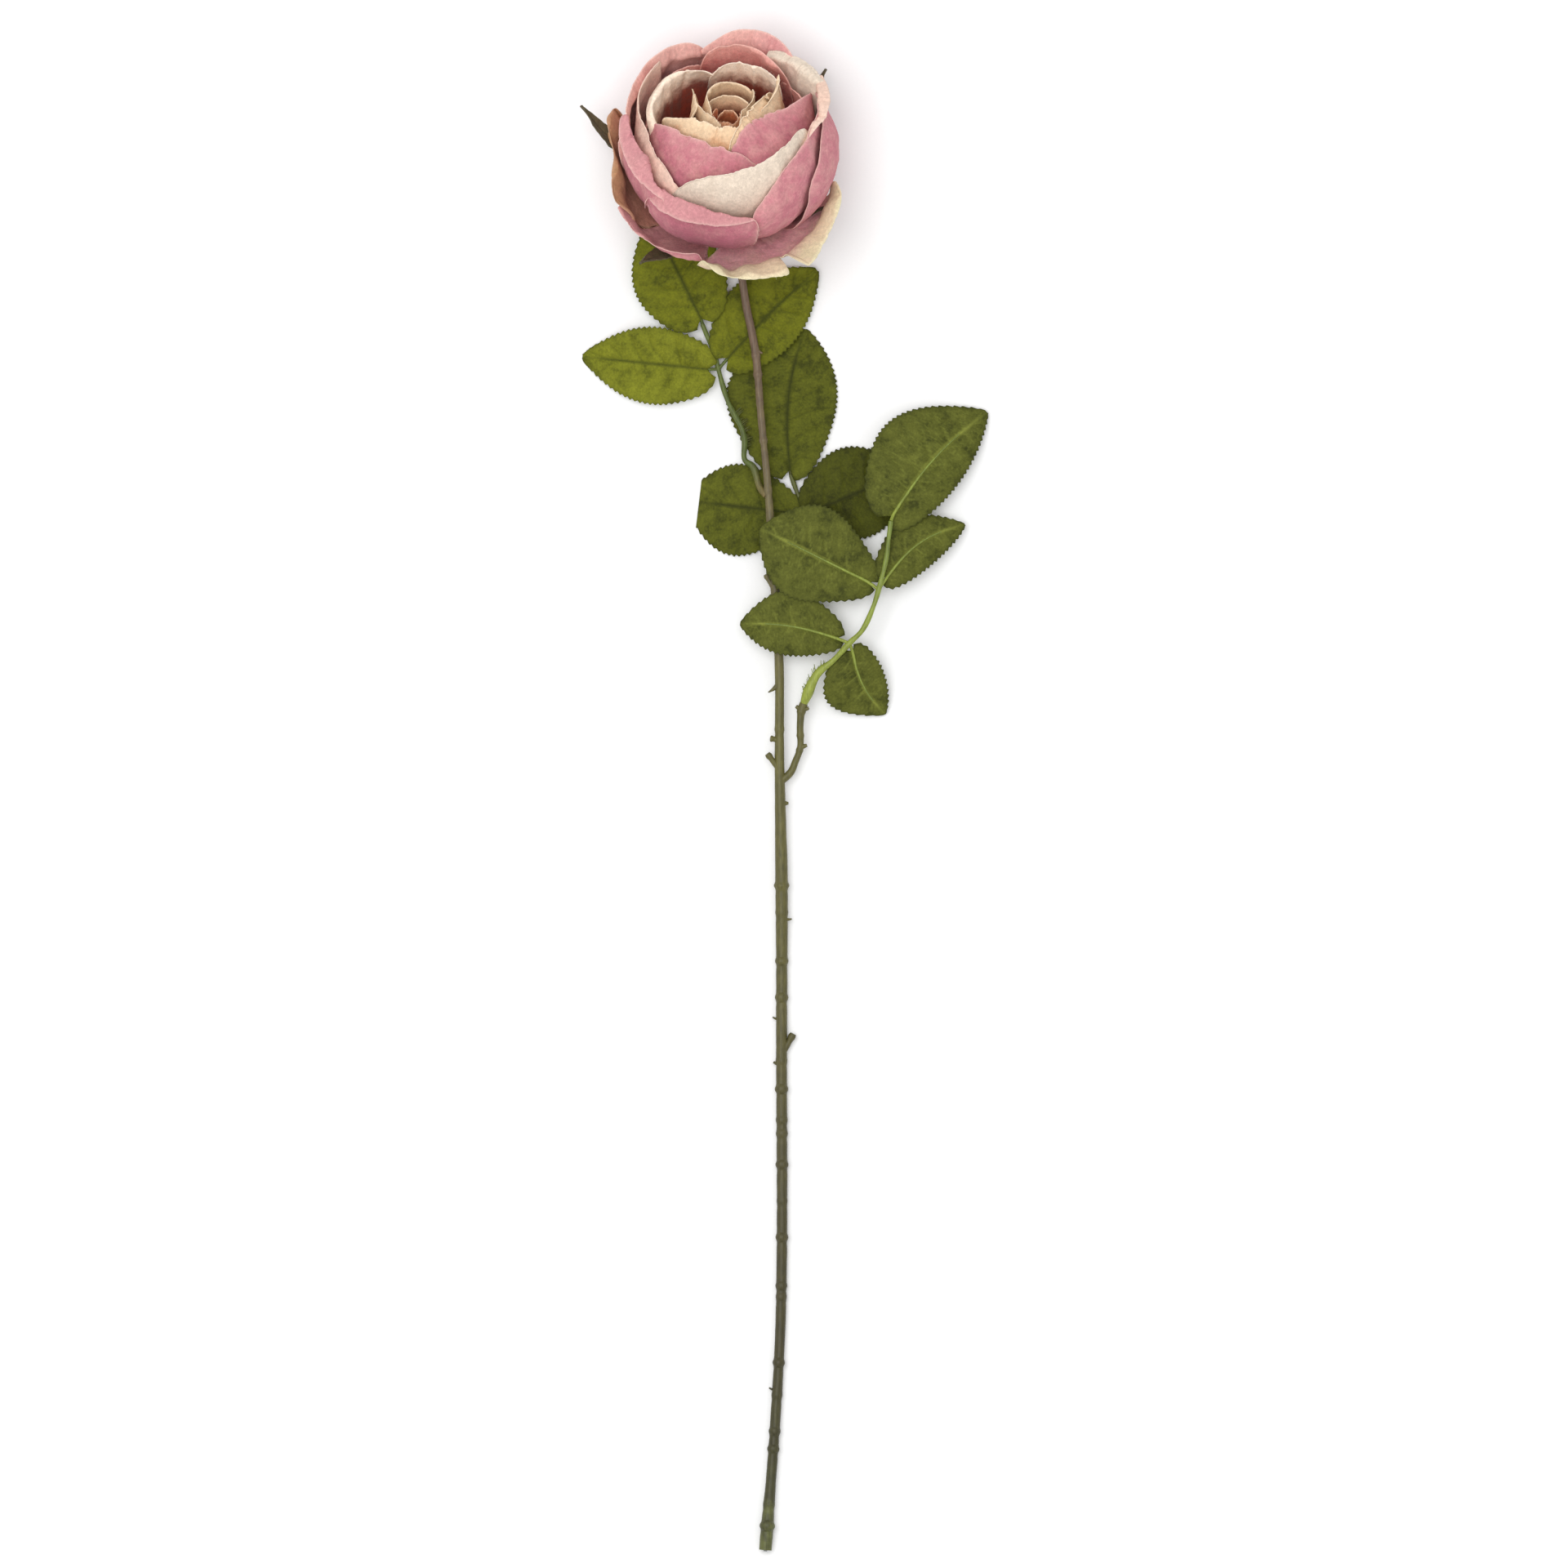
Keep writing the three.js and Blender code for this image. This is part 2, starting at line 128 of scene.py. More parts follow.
def finishMaterial(tree, inputs):
    finish = addNode(tree, "ShaderNodeBsdfPrincipled", inputs)
    addNode(tree, "ShaderNodeOutputMaterial", {"Surface": finish})


world = bpy.data.worlds.new("studio")
bpy.context.scene.world = world
world.use_nodes = True
world.node_tree.nodes.clear()
sky = addNode(world.node_tree, "ShaderNodeBackground", {"Color": (1, 1, 1, 1), "Strength": studio["sky"]})
addNode(world.node_tree, "ShaderNodeOutputWorld", {"Surface": sky})

keyData = bpy.data.lights.new("key", "AREA")
keyData.energy = studio["keyPower"]
keyData.size = studio["keySize"]
key = bpy.data.objects.new("key", keyData)
key.location = studio["keyFrom"]
key.rotation_mode = "QUATERNION"
key.rotation_quaternion = (-Vector(studio["keyFrom"])).to_track_quat("-Z", "Y")
bpy.context.scene.collection.objects.link(key)

# painted paper sweep: matt and pale, so the object's soft shadow is all that shows
paper, paperTree = newMaterial("painted_paper")
paperPlace = addNode(paperTree, "ShaderNodeTexCoord").outputs["Object"]
paperGrain = noiseOn(paperTree, paperPlace, scale=900.0, detail=3.0)
paperTone = remap(paperTree, paperGrain, 0.0, 1.0, low=0.93, high=0.96)
finishMaterial(paperTree, {"Roughness": 0.9, "Base Color": paperTone})

half = studio["floorSize"] / 2
floorMesh = bpy.data.meshes.new("floor")
floorCorners = [(-half, -half, 0), (half, -half, 0), (half, half, 0), (-half, half, 0)]
floorMesh.from_pydata(floorCorners, [], [(0, 1, 2, 3)])
floorMesh.transform(Matrix.Translation((0, 0, -studio["floorDrop"] * mm)))
floorMesh.materials.append(paper)
floor = bpy.data.objects.new("floor", floorMesh)
bpy.context.scene.collection.objects.link(floor)
floor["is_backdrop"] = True
print("camera, light and floor made")


# every shape is an array of points in mm, in the frame's own axes
tableGap = 0.06


def spread(values, at):
    # a smooth curve through evenly spaced values, read at shares from 0 to 1
    values = np.atleast_1d(np.asarray(values, float))
    if len(values) == 1:
        return np.full(np.shape(at), values[0])
    place = np.clip(at, 0, 1) * (len(values) - 1)
    first = np.clip(place.astype(int), 0, len(values) - 2)
    f = place - first
    line = np.concatenate([[2 * values[0] - values[1]], values, [2 * values[-1] - values[-2]]])
    a, b, c, d = line[first], line[first + 1], line[first + 2], line[first + 3]
    return b + 0.5 * f * (c - a + f * (2 * a - 5 * b + 4 * c - d + f * (3 * (b - c) + d - a)))


def unit(vectors):
    return vectors / np.maximum(np.linalg.norm(vectors, axis=-1, keepdims=True), 1e-9)


def ripple(points, size, seed):
    # smooth random values from -1 to 1 that change over about size
    flat = points.reshape(-1, points.shape[-1]) / size + seed * 7.31
    if flat.shape[1] == 2:
        flat = np.column_stack([flat, np.full(len(flat), seed * 1.7)])
    return np.array([noise.noise(Vector(p)) for p in flat]).reshape(points.shape[:-1])


def smoothPath(points, step=0.8):
    # a centripetal curve through the points, cut into even steps
    points = np.asarray(points, float)
    knots = np.concatenate([[0], np.cumsum(np.linalg.norm(np.diff(points, axis=0), axis=1) ** 0.5)])
    slopes = np.gradient(points, knots, axis=0)
    fine = np.linspace(0, knots[-1], 40 * len(points))
    at = np.clip(np.searchsorted(knots, fine, side="right") - 1, 0, len(points) - 2)
    span = (knots[at + 1] - knots[at])[:, None]
    f = (fine - knots[at])[:, None] / span
    made = ((2 * f ** 3 - 3 * f ** 2 + 1) * points[at] + (f ** 3 - 2 * f ** 2 + f) * span * slopes[at]
            + (3 * f ** 2 - 2 * f ** 3) * points[at + 1] + (f ** 3 - f ** 2) * span * slopes[at + 1])
    length = np.concatenate([[0], np.cumsum(np.linalg.norm(np.diff(made, axis=0), axis=1))])
    even = np.linspace(0, length[-1], max(4, int(length[-1] / step)))
    return np.column_stack([np.interp(even, length, made[:, i]) for i in range(3)])


def makeObject(name, points, faces, marks, arrows=None, uv=None, edges=()):
    mesh = bpy.data.meshes.new(name)
    mesh.from_pydata((np.asarray(points) * mm).tolist(), list(edges), faces)
    for mark, values in marks.items():
        attribute = mesh.attributes.new(mark, "FLOAT", "POINT")
        attribute.data.foreach_set("value", np.asarray(values, float).ravel())
    if arrows is not None:
        mesh.attributes.new("outward", "FLOAT_VECTOR", "POINT").data.foreach_set("vector", arrows.ravel())
    if uv is not None:
        corner = np.zeros(len(mesh.loops), np.int32)
        mesh.loops.foreach_get("vertex_index", corner)
        mesh.uv_layers.new(name="UVMap").data.foreach_set("uv", np.asarray(uv, float)[corner].ravel())
    mesh.shade_smooth()
    made = bpy.data.objects.new(name, mesh)
    bpy.context.scene.collection.objects.link(made)
    return made


def thinShell(name, front, thickness, marks, backMarks, arrows, uv):
    # a closed sheet: the front grid faces columns x rows, and the back lies thickness behind it
    rows, columns = front.shape[:2]
    front[..., 2] = np.maximum(front[..., 2], thickness + tableGap)  # nothing sinks into the table
    normal = unit(np.cross(np.gradient(front, axis=1), np.gradient(front, axis=0)))
    points = np.concatenate([front.reshape(-1, 3), (front - normal * thickness).reshape(-1, 3)])
    index = np.arange(rows * columns).reshape(rows, columns)
    back = index + rows * columns
    quads = [np.stack([index[:-1, :-1], index[:-1, 1:], index[1:, 1:], index[1:, :-1]], -1).reshape(-1, 4),
             np.stack([back[:-1, :-1], back[1:, :-1], back[1:, 1:], back[:-1, 1:]], -1).reshape(-1, 4)]
    loop = np.concatenate([index[0, :-1], index[:-1, -1], index[-1, :0:-1], index[:0:-1, 0]])
    after = np.roll(loop, -1)
    quads.append(np.stack([after, loop, loop + rows * columns, after + rows * columns], -1))
    allMarks = {mark: np.concatenate([values.ravel(), backMarks.get(mark, values).ravel()])
                for mark, values in marks.items()}
    allArrows = np.concatenate([arrows.reshape(-1, 3), arrows.reshape(-1, 3)])
    allUv = np.concatenate([uv.reshape(-1, 2), uv.reshape(-1, 2)])
    return makeObject(name, points, np.concatenate(quads).tolist(), allMarks, allArrows, allUv)


def newTree(name, inputs):
    tree = bpy.data.node_groups.new(name, "GeometryNodeTree")
    tree.interface.new_socket("Geometry", in_out="INPUT", socket_type="NodeSocketGeometry")
    for title, kind, value in inputs:
        socket = tree.interface.new_socket(title, in_out="INPUT", socket_type="NodeSocket" + kind)
        if value is not None:
            socket.default_value = value
    tree.interface.new_socket("Geometry", in_out="OUTPUT", socket_type="NodeSocketGeometry")
    return tree, addNode(tree, "NodeGroupInput").outputs


def finishTree(tree, geometry, material):
    smooth = addNode(tree, "GeometryNodeSetShadeSmooth", {"Geometry": geometry})
    real = addNode(tree, "GeometryNodeRealizeInstances", {"Geometry": smooth})
    painted = addNode(tree, "GeometryNodeSetMaterial", {"Geometry": real, "Material": material})
    addNode(tree, "NodeGroupOutput", {"Geometry": painted})


def grow(thing, tree, values):
    # runs a tree on an object and keeps the result as its plain mesh
    modifier = thing.modifiers.new("grow", "NODES")
    modifier.node_group = tree
    for item in tree.interface.items_tree:
        if item.in_out == "INPUT" and item.name in values:
            modifier[item.identifier] = values[item.name]
    graph = bpy.context.evaluated_depsgraph_get()
    made = bpy.data.meshes.new_from_object(thing.evaluated_get(graph), preserve_all_data_layers=True,
                                           depsgraph=graph)
    thing.modifiers.clear()
    old = thing.data
    thing.data = made
    bpy.data.meshes.remove(old)
    made.name = thing.name
    return thing


# a round moulding along every path of the mesh, as thick as the girth on its points
limbTree, limbIn = newTree("limb_along_path", [
    ("Sides", "Int", 20), ("Grain", "Float", 0.0001), ("Grain Size", "Float", 300.0),
    ("Material", "Material", None)])
limbPath = addNode(limbTree, "GeometryNodeMeshToCurve", {"Mesh": limbIn["Geometry"]})
limbGirth = addNode(limbTree, "GeometryNodeInputNamedAttribute", {"Name": "girth"}, data_type="FLOAT")
limbRound = addNode(limbTree, "GeometryNodeCurvePrimitiveCircle",
                    {"Radius": 1.0, "Resolution": limbIn["Sides"]})
limbBody = addNode(limbTree, "GeometryNodeCurveToMesh",
                   {"Curve": limbPath, "Profile Curve": limbRound, "Scale": limbGirth, "Fill Caps": True})
limbPlace = addNode(limbTree, "GeometryNodeInputPosition")
limbStretch = addNode(limbTree, "ShaderNodeVectorMath", {0: limbPlace, 1: (1.0, 0.22, 1.0)},
                      operation="MULTIPLY")
limbNoise = noiseOn(limbTree, limbStretch, scale=limbIn["Grain Size"], detail=3.0)
limbAmount = compute(limbTree, "MULTIPLY", compute(limbTree, "SUBTRACT", limbNoise, 0.5), limbIn["Grain"])
limbNormal = addNode(limbTree, "GeometryNodeInputNormal")
limbPush = scaled(limbTree, limbNormal, limbAmount)
limbMoved = addNode(limbTree, "GeometryNodeSetPosition", {"Geometry": limbBody, "Offset": limbPush})
finishTree(limbTree, limbMoved, limbIn["Material"])

# loose threads, or a comb of fingers, growing from the marked points of the mesh
fringeTree, fringeIn = newTree("fringe_on_edge", [
    ("Length", "Float", 0.001), ("Slimness", "Float", 0.05), ("Spread", "Float", 0.5),
    ("Share", "Float", 0.6), ("Bend", "Float", 0.3), ("Seed", "Int", 1), ("Material", "Material", None)])
fringeMark = addNode(fringeTree, "GeometryNodeInputNamedAttribute", {"Name": "fringe"}, data_type="FLOAT")
fringeLuck = addNode(fringeTree, "FunctionNodeRandomValue", {"Seed": fringeIn["Seed"]}, data_type="FLOAT")
fringeChance = compute(fringeTree, "MULTIPLY", fringeMark, fringeIn["Share"])
fringePick = addNode(fringeTree, "FunctionNodeCompare", {0: fringeChance, 1: fringeLuck.outputs[1]},
                     operation="GREATER_THAN", data_type="FLOAT")
fringePoints = addNode(fringeTree, "GeometryNodeMeshToPoints",
                       {"Mesh": fringeIn["Geometry"], "Selection": fringePick})
fringeBend = addNode(fringeTree, "ShaderNodeCombineXYZ", {"X": fringeIn["Bend"], "Z": 1.0})
fringeCurve = addNode(fringeTree, "GeometryNodeCurveQuadraticBezier",
                      {"Resolution": 3, "Start": (0, 0, 0), "Middle": (0, 0, 0.55), "End": fringeBend})
fringeAlong = addNode(fringeTree, "GeometryNodeSplineParameter")
fringeTaper = remap(fringeTree, fringeAlong.outputs["Factor"], 0.0, 1.0, low=1.0, high=0.35)
fringeRound = addNode(fringeTree, "GeometryNodeCurvePrimitiveCircle",
                      {"Resolution": 3, "Radius": fringeIn["Slimness"]})
fringeBody = addNode(fringeTree, "GeometryNodeCurveToMesh",
                     {"Curve": fringeCurve, "Profile Curve": fringeRound, "Scale": fringeTaper,
                      "Fill Caps": True})
fringeWay = addNode(fringeTree, "GeometryNodeInputNamedAttribute", {"Name": "outward"},
                    data_type="FLOAT_VECTOR")
fringeShake = addNode(fringeTree, "FunctionNodeRandomValue",
                      {0: (-1, -1, -1), 1: (1, 1, 1), "Seed": fringeIn["Seed"]}, data_type="FLOAT_VECTOR")
fringeScatter = scaled(fringeTree, fringeShake, fringeIn["Spread"])
fringeAim = addNode(fringeTree, "ShaderNodeVectorMath", {0: fringeWay, 1: fringeScatter},
                    operation="ADD")
fringeTurn = addNode(fringeTree, "FunctionNodeAlignRotationToVector", {"Vector": fringeAim})
fringeSize = addNode(fringeTree, "FunctionNodeRandomValue", {2: 0.35, 3: 1.0, "Seed": fringeIn["Seed"]},
                     data_type="FLOAT")
fringeScale = compute(fringeTree, "MULTIPLY", fringeSize.outputs[1], fringeIn["Length"])
fringeSet = addNode(fringeTree, "GeometryNodeInstanceOnPoints",
                    {"Points": fringePoints, "Instance": fringeBody,
                     "Rotation": fringeTurn, "Scale": fringeScale})
fringeJoin = addNode(fringeTree, "GeometryNodeJoinGeometry")
fringeTree.links.new(fringeSet.outputs[0], fringeJoin.inputs[0])
fringeTree.links.new(fringeIn["Geometry"], fringeJoin.inputs[0])
finishTree(fringeTree, fringeJoin, fringeIn["Material"])
print("node trees made")


def settle(thing, nodeName):
    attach(thing, "root")
    if nodeName:
        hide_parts(nodeName)


def dyedPolyester(name, dyeAndShade):
    # pressed polyester cloth, airbrushed with dye: matt and velvety, mottled like crushed paper,
    # with pale raw edges where the cut shows the undyed thread, and painted shade deep in the cup
    material, tree = newMaterial(name)
    place = addNode(tree, "ShaderNodeTexCoord").outputs
    side = readMark(tree, "side")
    # airbrush clouds 8 mm across, crushed pile 1.4 mm across, creases drawn out along the petal
    cloud = noiseOn(tree, place["Object"], scale=125.0, detail=4.0, roughness=0.62)
    pile = noiseOn(tree, place["Object"], scale=700.0, detail=4.0, roughness=0.65)
    drawn = addNode(tree, "ShaderNodeMapping", {"Vector": place["UV"], "Scale": (1.0, 0.45, 1.0)})
    crease = noiseOn(tree, drawn, scale=0.32, detail=4.0, roughness=0.55, distortion=1.6)
    # both faces, the clouds, then the tip, the stains with painted shade below rolled rims, the painted shade
    # at the foot, and the raw edge over them
    tone = mixTones(tree, side, dyeAndShade["outer"], dyeAndShade["inner"])
    tone = mixTones(tree, remap(tree, cloud, 0.42, 0.68, high=0.7), tone, dyeAndShade["bloom"])
    drift = compute(tree, "MULTIPLY_ADD", cloud, 0.35, -0.17)
    level = compute(tree, "ADD", readMark(tree, "depth"), drift)
    tipShare = remap(tree, level, dyeAndShade["tipFrom"], dyeAndShade["tipFull"], shape="SMOOTHSTEP")
    tone = mixTones(tree, tipShare, tone, dyeAndShade["tip"])
    # stains, and on two rose petals painted shade below the rolled rim
    tone = mixTones(tree, readMark(tree, "stainAndShade"), tone, dyeAndShade["stainAndShade"])
    # painted shade: darker towards the foot, deep in the cup, and more on the inner face
    footShadeShare = remap(tree, level, dyeAndShade["footShadeTo"], dyeAndShade["footShadeFull"], shape="SMOOTHSTEP")
    footShadeSide = remap(tree, side, 0.0, 1.0, low=0.4)
    tone = mixTones(tree, compute(tree, "MULTIPLY", footShadeShare, footShadeSide), tone, dyeAndShade["foot"])
    tone = mixTones(tree, compute(tree, "MULTIPLY", readMark(tree, "edge"), 0.85), tone, dyeAndShade["fray"])
    # the pile is darker where it stands, and a thin pale squiggle runs along each crease
    fleck = remap(tree, pile, 0.3, 0.72, low=0.86, high=1.14)
    lineGap = compute(tree, "ABSOLUTE", compute(tree, "SUBTRACT", crease, 0.5))
    streak = remap(tree, lineGap, 0.0, 0.03, low=1.16, high=1.0)
    tone = scaled(tree, tone, compute(tree, "MULTIPLY", fleck, streak))
    relief = compute(tree, "MULTIPLY_ADD", crease, 0.6, pile)
    bump = addNode(tree, "ShaderNodeBump", {"Strength": 0.55, "Distance": 0.35 * mm, "Height": relief})
    finishMaterial(tree, {"Base Color": tone, "Normal": bump, "Roughness": 0.88, "IOR": 1.53,
                          "Specular IOR Level": 0.25, "Sheen Weight": 0.18, "Sheen Roughness": 0.55,
                          "Sheen Tint": toLinear(dyeAndShade["fray"])})
    return material


# each set's foot colour is painted shade deep in the cup, full at the lowest levels
dyesAndShades = {
    # the rose set's stain colour is painted shade below a rolled rim
    "rose": dict(outer="#BD727E", inner="#CA8A8E", bloom="#D09894", tip="#CE9294", tipFrom=0.8, tipFull=1.2,
                 stainAndShade="#7E3248", foot="#A04C58", footShadeTo=0.4, footShadeFull=0.0, fray="#E2B8B0"),
    "blush": dict(outer="#C07C82", inner="#D89A96", bloom="#E2AEA6", tip="#E0AEA4", tipFrom=0.75,
                  tipFull=1.1, stainAndShade="#C07480", foot="#A84A4A", footShadeTo=0.5, footShadeFull=0.1, fray="#ECC6BA"),
    "wine": dict(outer="#B46C74", inner="#C46E6C", bloom="#D08A84", tip="#DC9E94", tipFrom=0.75,
                 tipFull=1.05, stainAndShade="#8E3338", foot="#842226", footShadeTo=0.88, footShadeFull=0.4, fray="#E8B8AC"),
    "cream": dict(outer="#D6C5B2", inner="#DACAB6", bloom="#DCC2AE", tip="#E0D0BE", tipFrom=0.6,
                  tipFull=1.0, stainAndShade="#D08E7E", foot="#A85A4C", footShadeTo=0.5, footShadeFull=0.1, fray="#EADCCB"),
    "shell": dict(outer="#E8C6AE", inner="#F2D8C0", bloom="#F0C6AE", tip="#F5E0CC", tipFrom=0.85,
                  tipFull=1.0, stainAndShade="#CE8A66", foot="#8E3624", footShadeTo=0.95, footShadeFull=0.72, fray="#F8E8D6"),
    "peach": dict(outer="#D08A84", inner="#E2B4A4", bloom="#E4BEAE", tip="#E8C8B6", tipFrom=0.7,
                  tipFull=1.05, stainAndShade="#B86E66", foot="#A04440", footShadeTo=0.6, footShadeFull=0.1, fray="#EED2C2"),
    "sand": dict(outer="#D29C72", inner="#F0CCA6", bloom="#E6B690", tip="#E8CBA8", tipFrom=0.8, tipFull=1.0,
                 stainAndShade="#BE7444", foot="#86341C", footShadeTo=0.94, footShadeFull=0.66, fray="#F8E2C6"),
    "ember": dict(outer="#DC8350", inner="#D06C42", bloom="#D68A5A", tip="#E6B088", tipFrom=0.88,
                  tipFull=1.02, stainAndShade="#98422A", foot="#82301A", footShadeTo=0.9, footShadeFull=0.5, fray="#F4CCAE"),
    "tan": dict(outer="#A8745E", inner="#BA846E", bloom="#BE8678", tip="#AE8460", tipFrom=0.8, tipFull=1.05,
                stainAndShade="#9A5A54", foot="#B06068", footShadeTo=0.6, footShadeFull=0.1, fray="#C09C80"),
    "leafed": dict(outer="#BE7E88", inner="#DEA0A8", bloom="#E4B8B0", tip="#D8D0A8", tipFrom=0.52,
                   tipFull=1.12, stainAndShade="#E0CCAC", foot="#AC5C6C", footShadeTo=0.4, footShadeFull=0.1, fray="#DED6B0"),
}
cloths = {name: dyedPolyester("dyed_polyester_" + name, dyeAndShade) for name, dyeAndShade in dyesAndShades.items()}


def pressedLeaf(name, tones):
    # green polyester pressed in a hot mould, with veins and pinked edges: a dull waxy face
    material, tree = newMaterial(name)
    place = addNode(tree, "ShaderNodeTexCoord").outputs["Object"]
    # dye clouds 8 mm across and the cloth's own grain, about 0.9 mm so that it shows
    cloud = noiseOn(tree, place, scale=130.0, detail=6.0, roughness=0.72)
    grain = noiseOn(tree, place, scale=1100.0, detail=3.0, roughness=0.6)
    tone = mixTones(tree, readMark(tree, "under"), tones["upper"], tones["under"])
    tone = mixTones(tree, remap(tree, cloud, 0.38, 0.7), tone, tones["light"])
    tone = mixTones(tree, remap(tree, cloud, 0.47, 0.3, high=0.75), tone, tones["edge"])
    tone = mixTones(tree, readMark(tree, "vein"), tone, tones["vein"])
    tone = mixTones(tree, compute(tree, "MULTIPLY", readMark(tree, "edge"), 0.7), tone, tones["edge"])
    tone = scaled(tree, tone, remap(tree, grain, 0.3, 0.7, low=0.82, high=1.16))
    bump = addNode(tree, "ShaderNodeBump", {"Strength": 0.5, "Distance": 0.25 * mm, "Height": grain})
    finishMaterial(tree, {"Base Color": tone, "Normal": bump, "Roughness": 0.7, "IOR": 1.5,
                          "Specular IOR Level": 0.14})
    return material


def mouldedPlastic(name, stops, roughness):
    # moulded polyethylene with dye wiped along it: a dull waxy skin, brown where the dye lies thick
    material, tree = newMaterial("moulded_polyethylene_" + name)
    place = addNode(tree, "ShaderNodeTexCoord").outputs["Object"]
    drawn = addNode(tree, "ShaderNodeMapping", {"Vector": place, "Scale": (1.0, 0.12, 1.0)})
    fibre = noiseOn(tree, drawn, scale=1500.0, detail=4.0, roughness=0.6)
    patch = noiseOn(tree, place, scale=160.0, detail=4.0, roughness=0.6)
    shift = compute(tree, "MULTIPLY_ADD", patch, 0.12, -0.06)
    where = compute(tree, "ADD", readMark(tree, "along"), shift)
    ramp = addNode(tree, "ShaderNodeValToRGB", {"Fac": where})
    while len(ramp.color_ramp.elements) < len(stops):
        ramp.color_ramp.elements.new(0.5)
    for element, (at, tone) in zip(ramp.color_ramp.elements, stops):
        element.position = at
        element.color = toLinear(tone)
    fibreTone = remap(tree, fibre, 0.3, 0.7, low=0.72, high=1.25)
    patchTone = remap(tree, patch, 0.3, 0.7, low=0.8, high=1.2)
    tone = scaled(tree, ramp.outputs["Color"], compute(tree, "MULTIPLY", fibreTone, patchTone))
    bump = addNode(tree, "ShaderNodeBump", {"Strength": 0.5, "Distance": 0.2 * mm, "Height": fibre})
    finishMaterial(tree, {"Base Color": tone, "Normal": bump, "Roughness": roughness, "IOR": 1.51,
                          "Specular IOR Level": 0.4})
    return material


def drawnSteel(name):
    # bright drawn wire: fine lines along its length and a soft grey shine
    material, tree = newMaterial(name)
    place = addNode(tree, "ShaderNodeTexCoord").outputs["Object"]
    drawn = addNode(tree, "ShaderNodeMapping", {"Vector": place, "Scale": (1.0, 0.02, 1.0)})
    lines = noiseOn(tree, drawn, scale=6000.0, detail=2.0)
    finishMaterial(tree, {"Metallic": 1.0, "Base Color": mixTones(tree, lines, "#8D8F92", "#B4B6B8"),
                          "Roughness": remap(tree, lines, 0.0, 1.0, low=0.28, high=0.42)})
    return material


stemPlastic = mouldedPlastic("stem", [
    (0.0, "#6E5A4A"), (0.1, "#6A5644"), (0.22, "#645A3C"), (0.38, "#5E5A2E"), (0.55, "#57522A"),
    (0.7, "#4A4526"), (0.85, "#3E391F"), (0.96, "#3F3E20"), (1.0, "#56592F")], 0.5)
stalkPlastics = {
    "right_sprig": mouldedPlastic("lime", [(0.0, "#8A943A"), (0.5, "#7E8A34"), (1.0, "#6C7A34")], 0.45),
    "left_sprig": mouldedPlastic("moss", [(0.0, "#6A5A36"), (0.2, "#4E5A24"), (1.0, "#5A662A")], 0.5),
    "low_sprig": mouldedPlastic("olive", [(0.0, "#55522A"), (0.4, "#4C4E22"), (1.0, "#565A26")], 0.5),
}
calyxPlastic = mouldedPlastic("calyx", [(0.0, "#544C2C"), (0.5, "#4A4526"), (1.0, "#58503A")], 0.6)
corePlastic = mouldedPlastic("core", [(0.0, "#8A4028"), (1.0, "#9A5034")], 0.7)
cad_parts["stem_wire"].material_slots[0].material = drawnSteel("drawn_steel_wire")
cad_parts["flower_core"].material_slots[0].material = corePlastic
print("materials made")

# the core's box gives the flower's base, and the tilt gives the rest
flower = dict(tilt=42.0, coreRadius=5.5, radius=50.0, depth=42.0, belt=40.0)
lean = math.radians(flower["tilt"])
coreLow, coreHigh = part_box("flower_core")
base = np.array([(coreLow.x + coreHigh.x) / 2 / mm,
                 coreLow.y / mm + flower["coreRadius"] * math.cos(lean),
                 coreLow.z / mm + flower["coreRadius"] * math.sin(lean)])


def onFlower(azimuth, reach, rise):
    # azimuth in radians round the flower's axis, reach out from it and rise along it in mm
    ahead = reach * np.sin(azimuth)
    return np.stack([base[0] + reach * np.cos(azimuth),
                     base[1] + math.cos(lean) * ahead + math.sin(lean) * rise,
                     base[2] - math.sin(lean) * ahead + math.cos(lean) * rise], -1)


cloth = dict(thickness=0.3, columns=112, footRows=14, wallRows=42, foldRows=14, footShadeShare=0.45,
             spanRadius=30, waist=40.0, waistShare=0.66, leastFold=0.02, ragged=0.022, nicks=0.01,
             fuzz=0.006, rawEdge=0.55, rawSide=0.5, crush=0.45, crease=0.62, crumple=0.22, ruffleHeight=1.6)
threads = {"Length": 1.1 * mm, "Slimness": 0.045, "Spread": 0.8, "Share": 0.16, "Bend": 0.6}


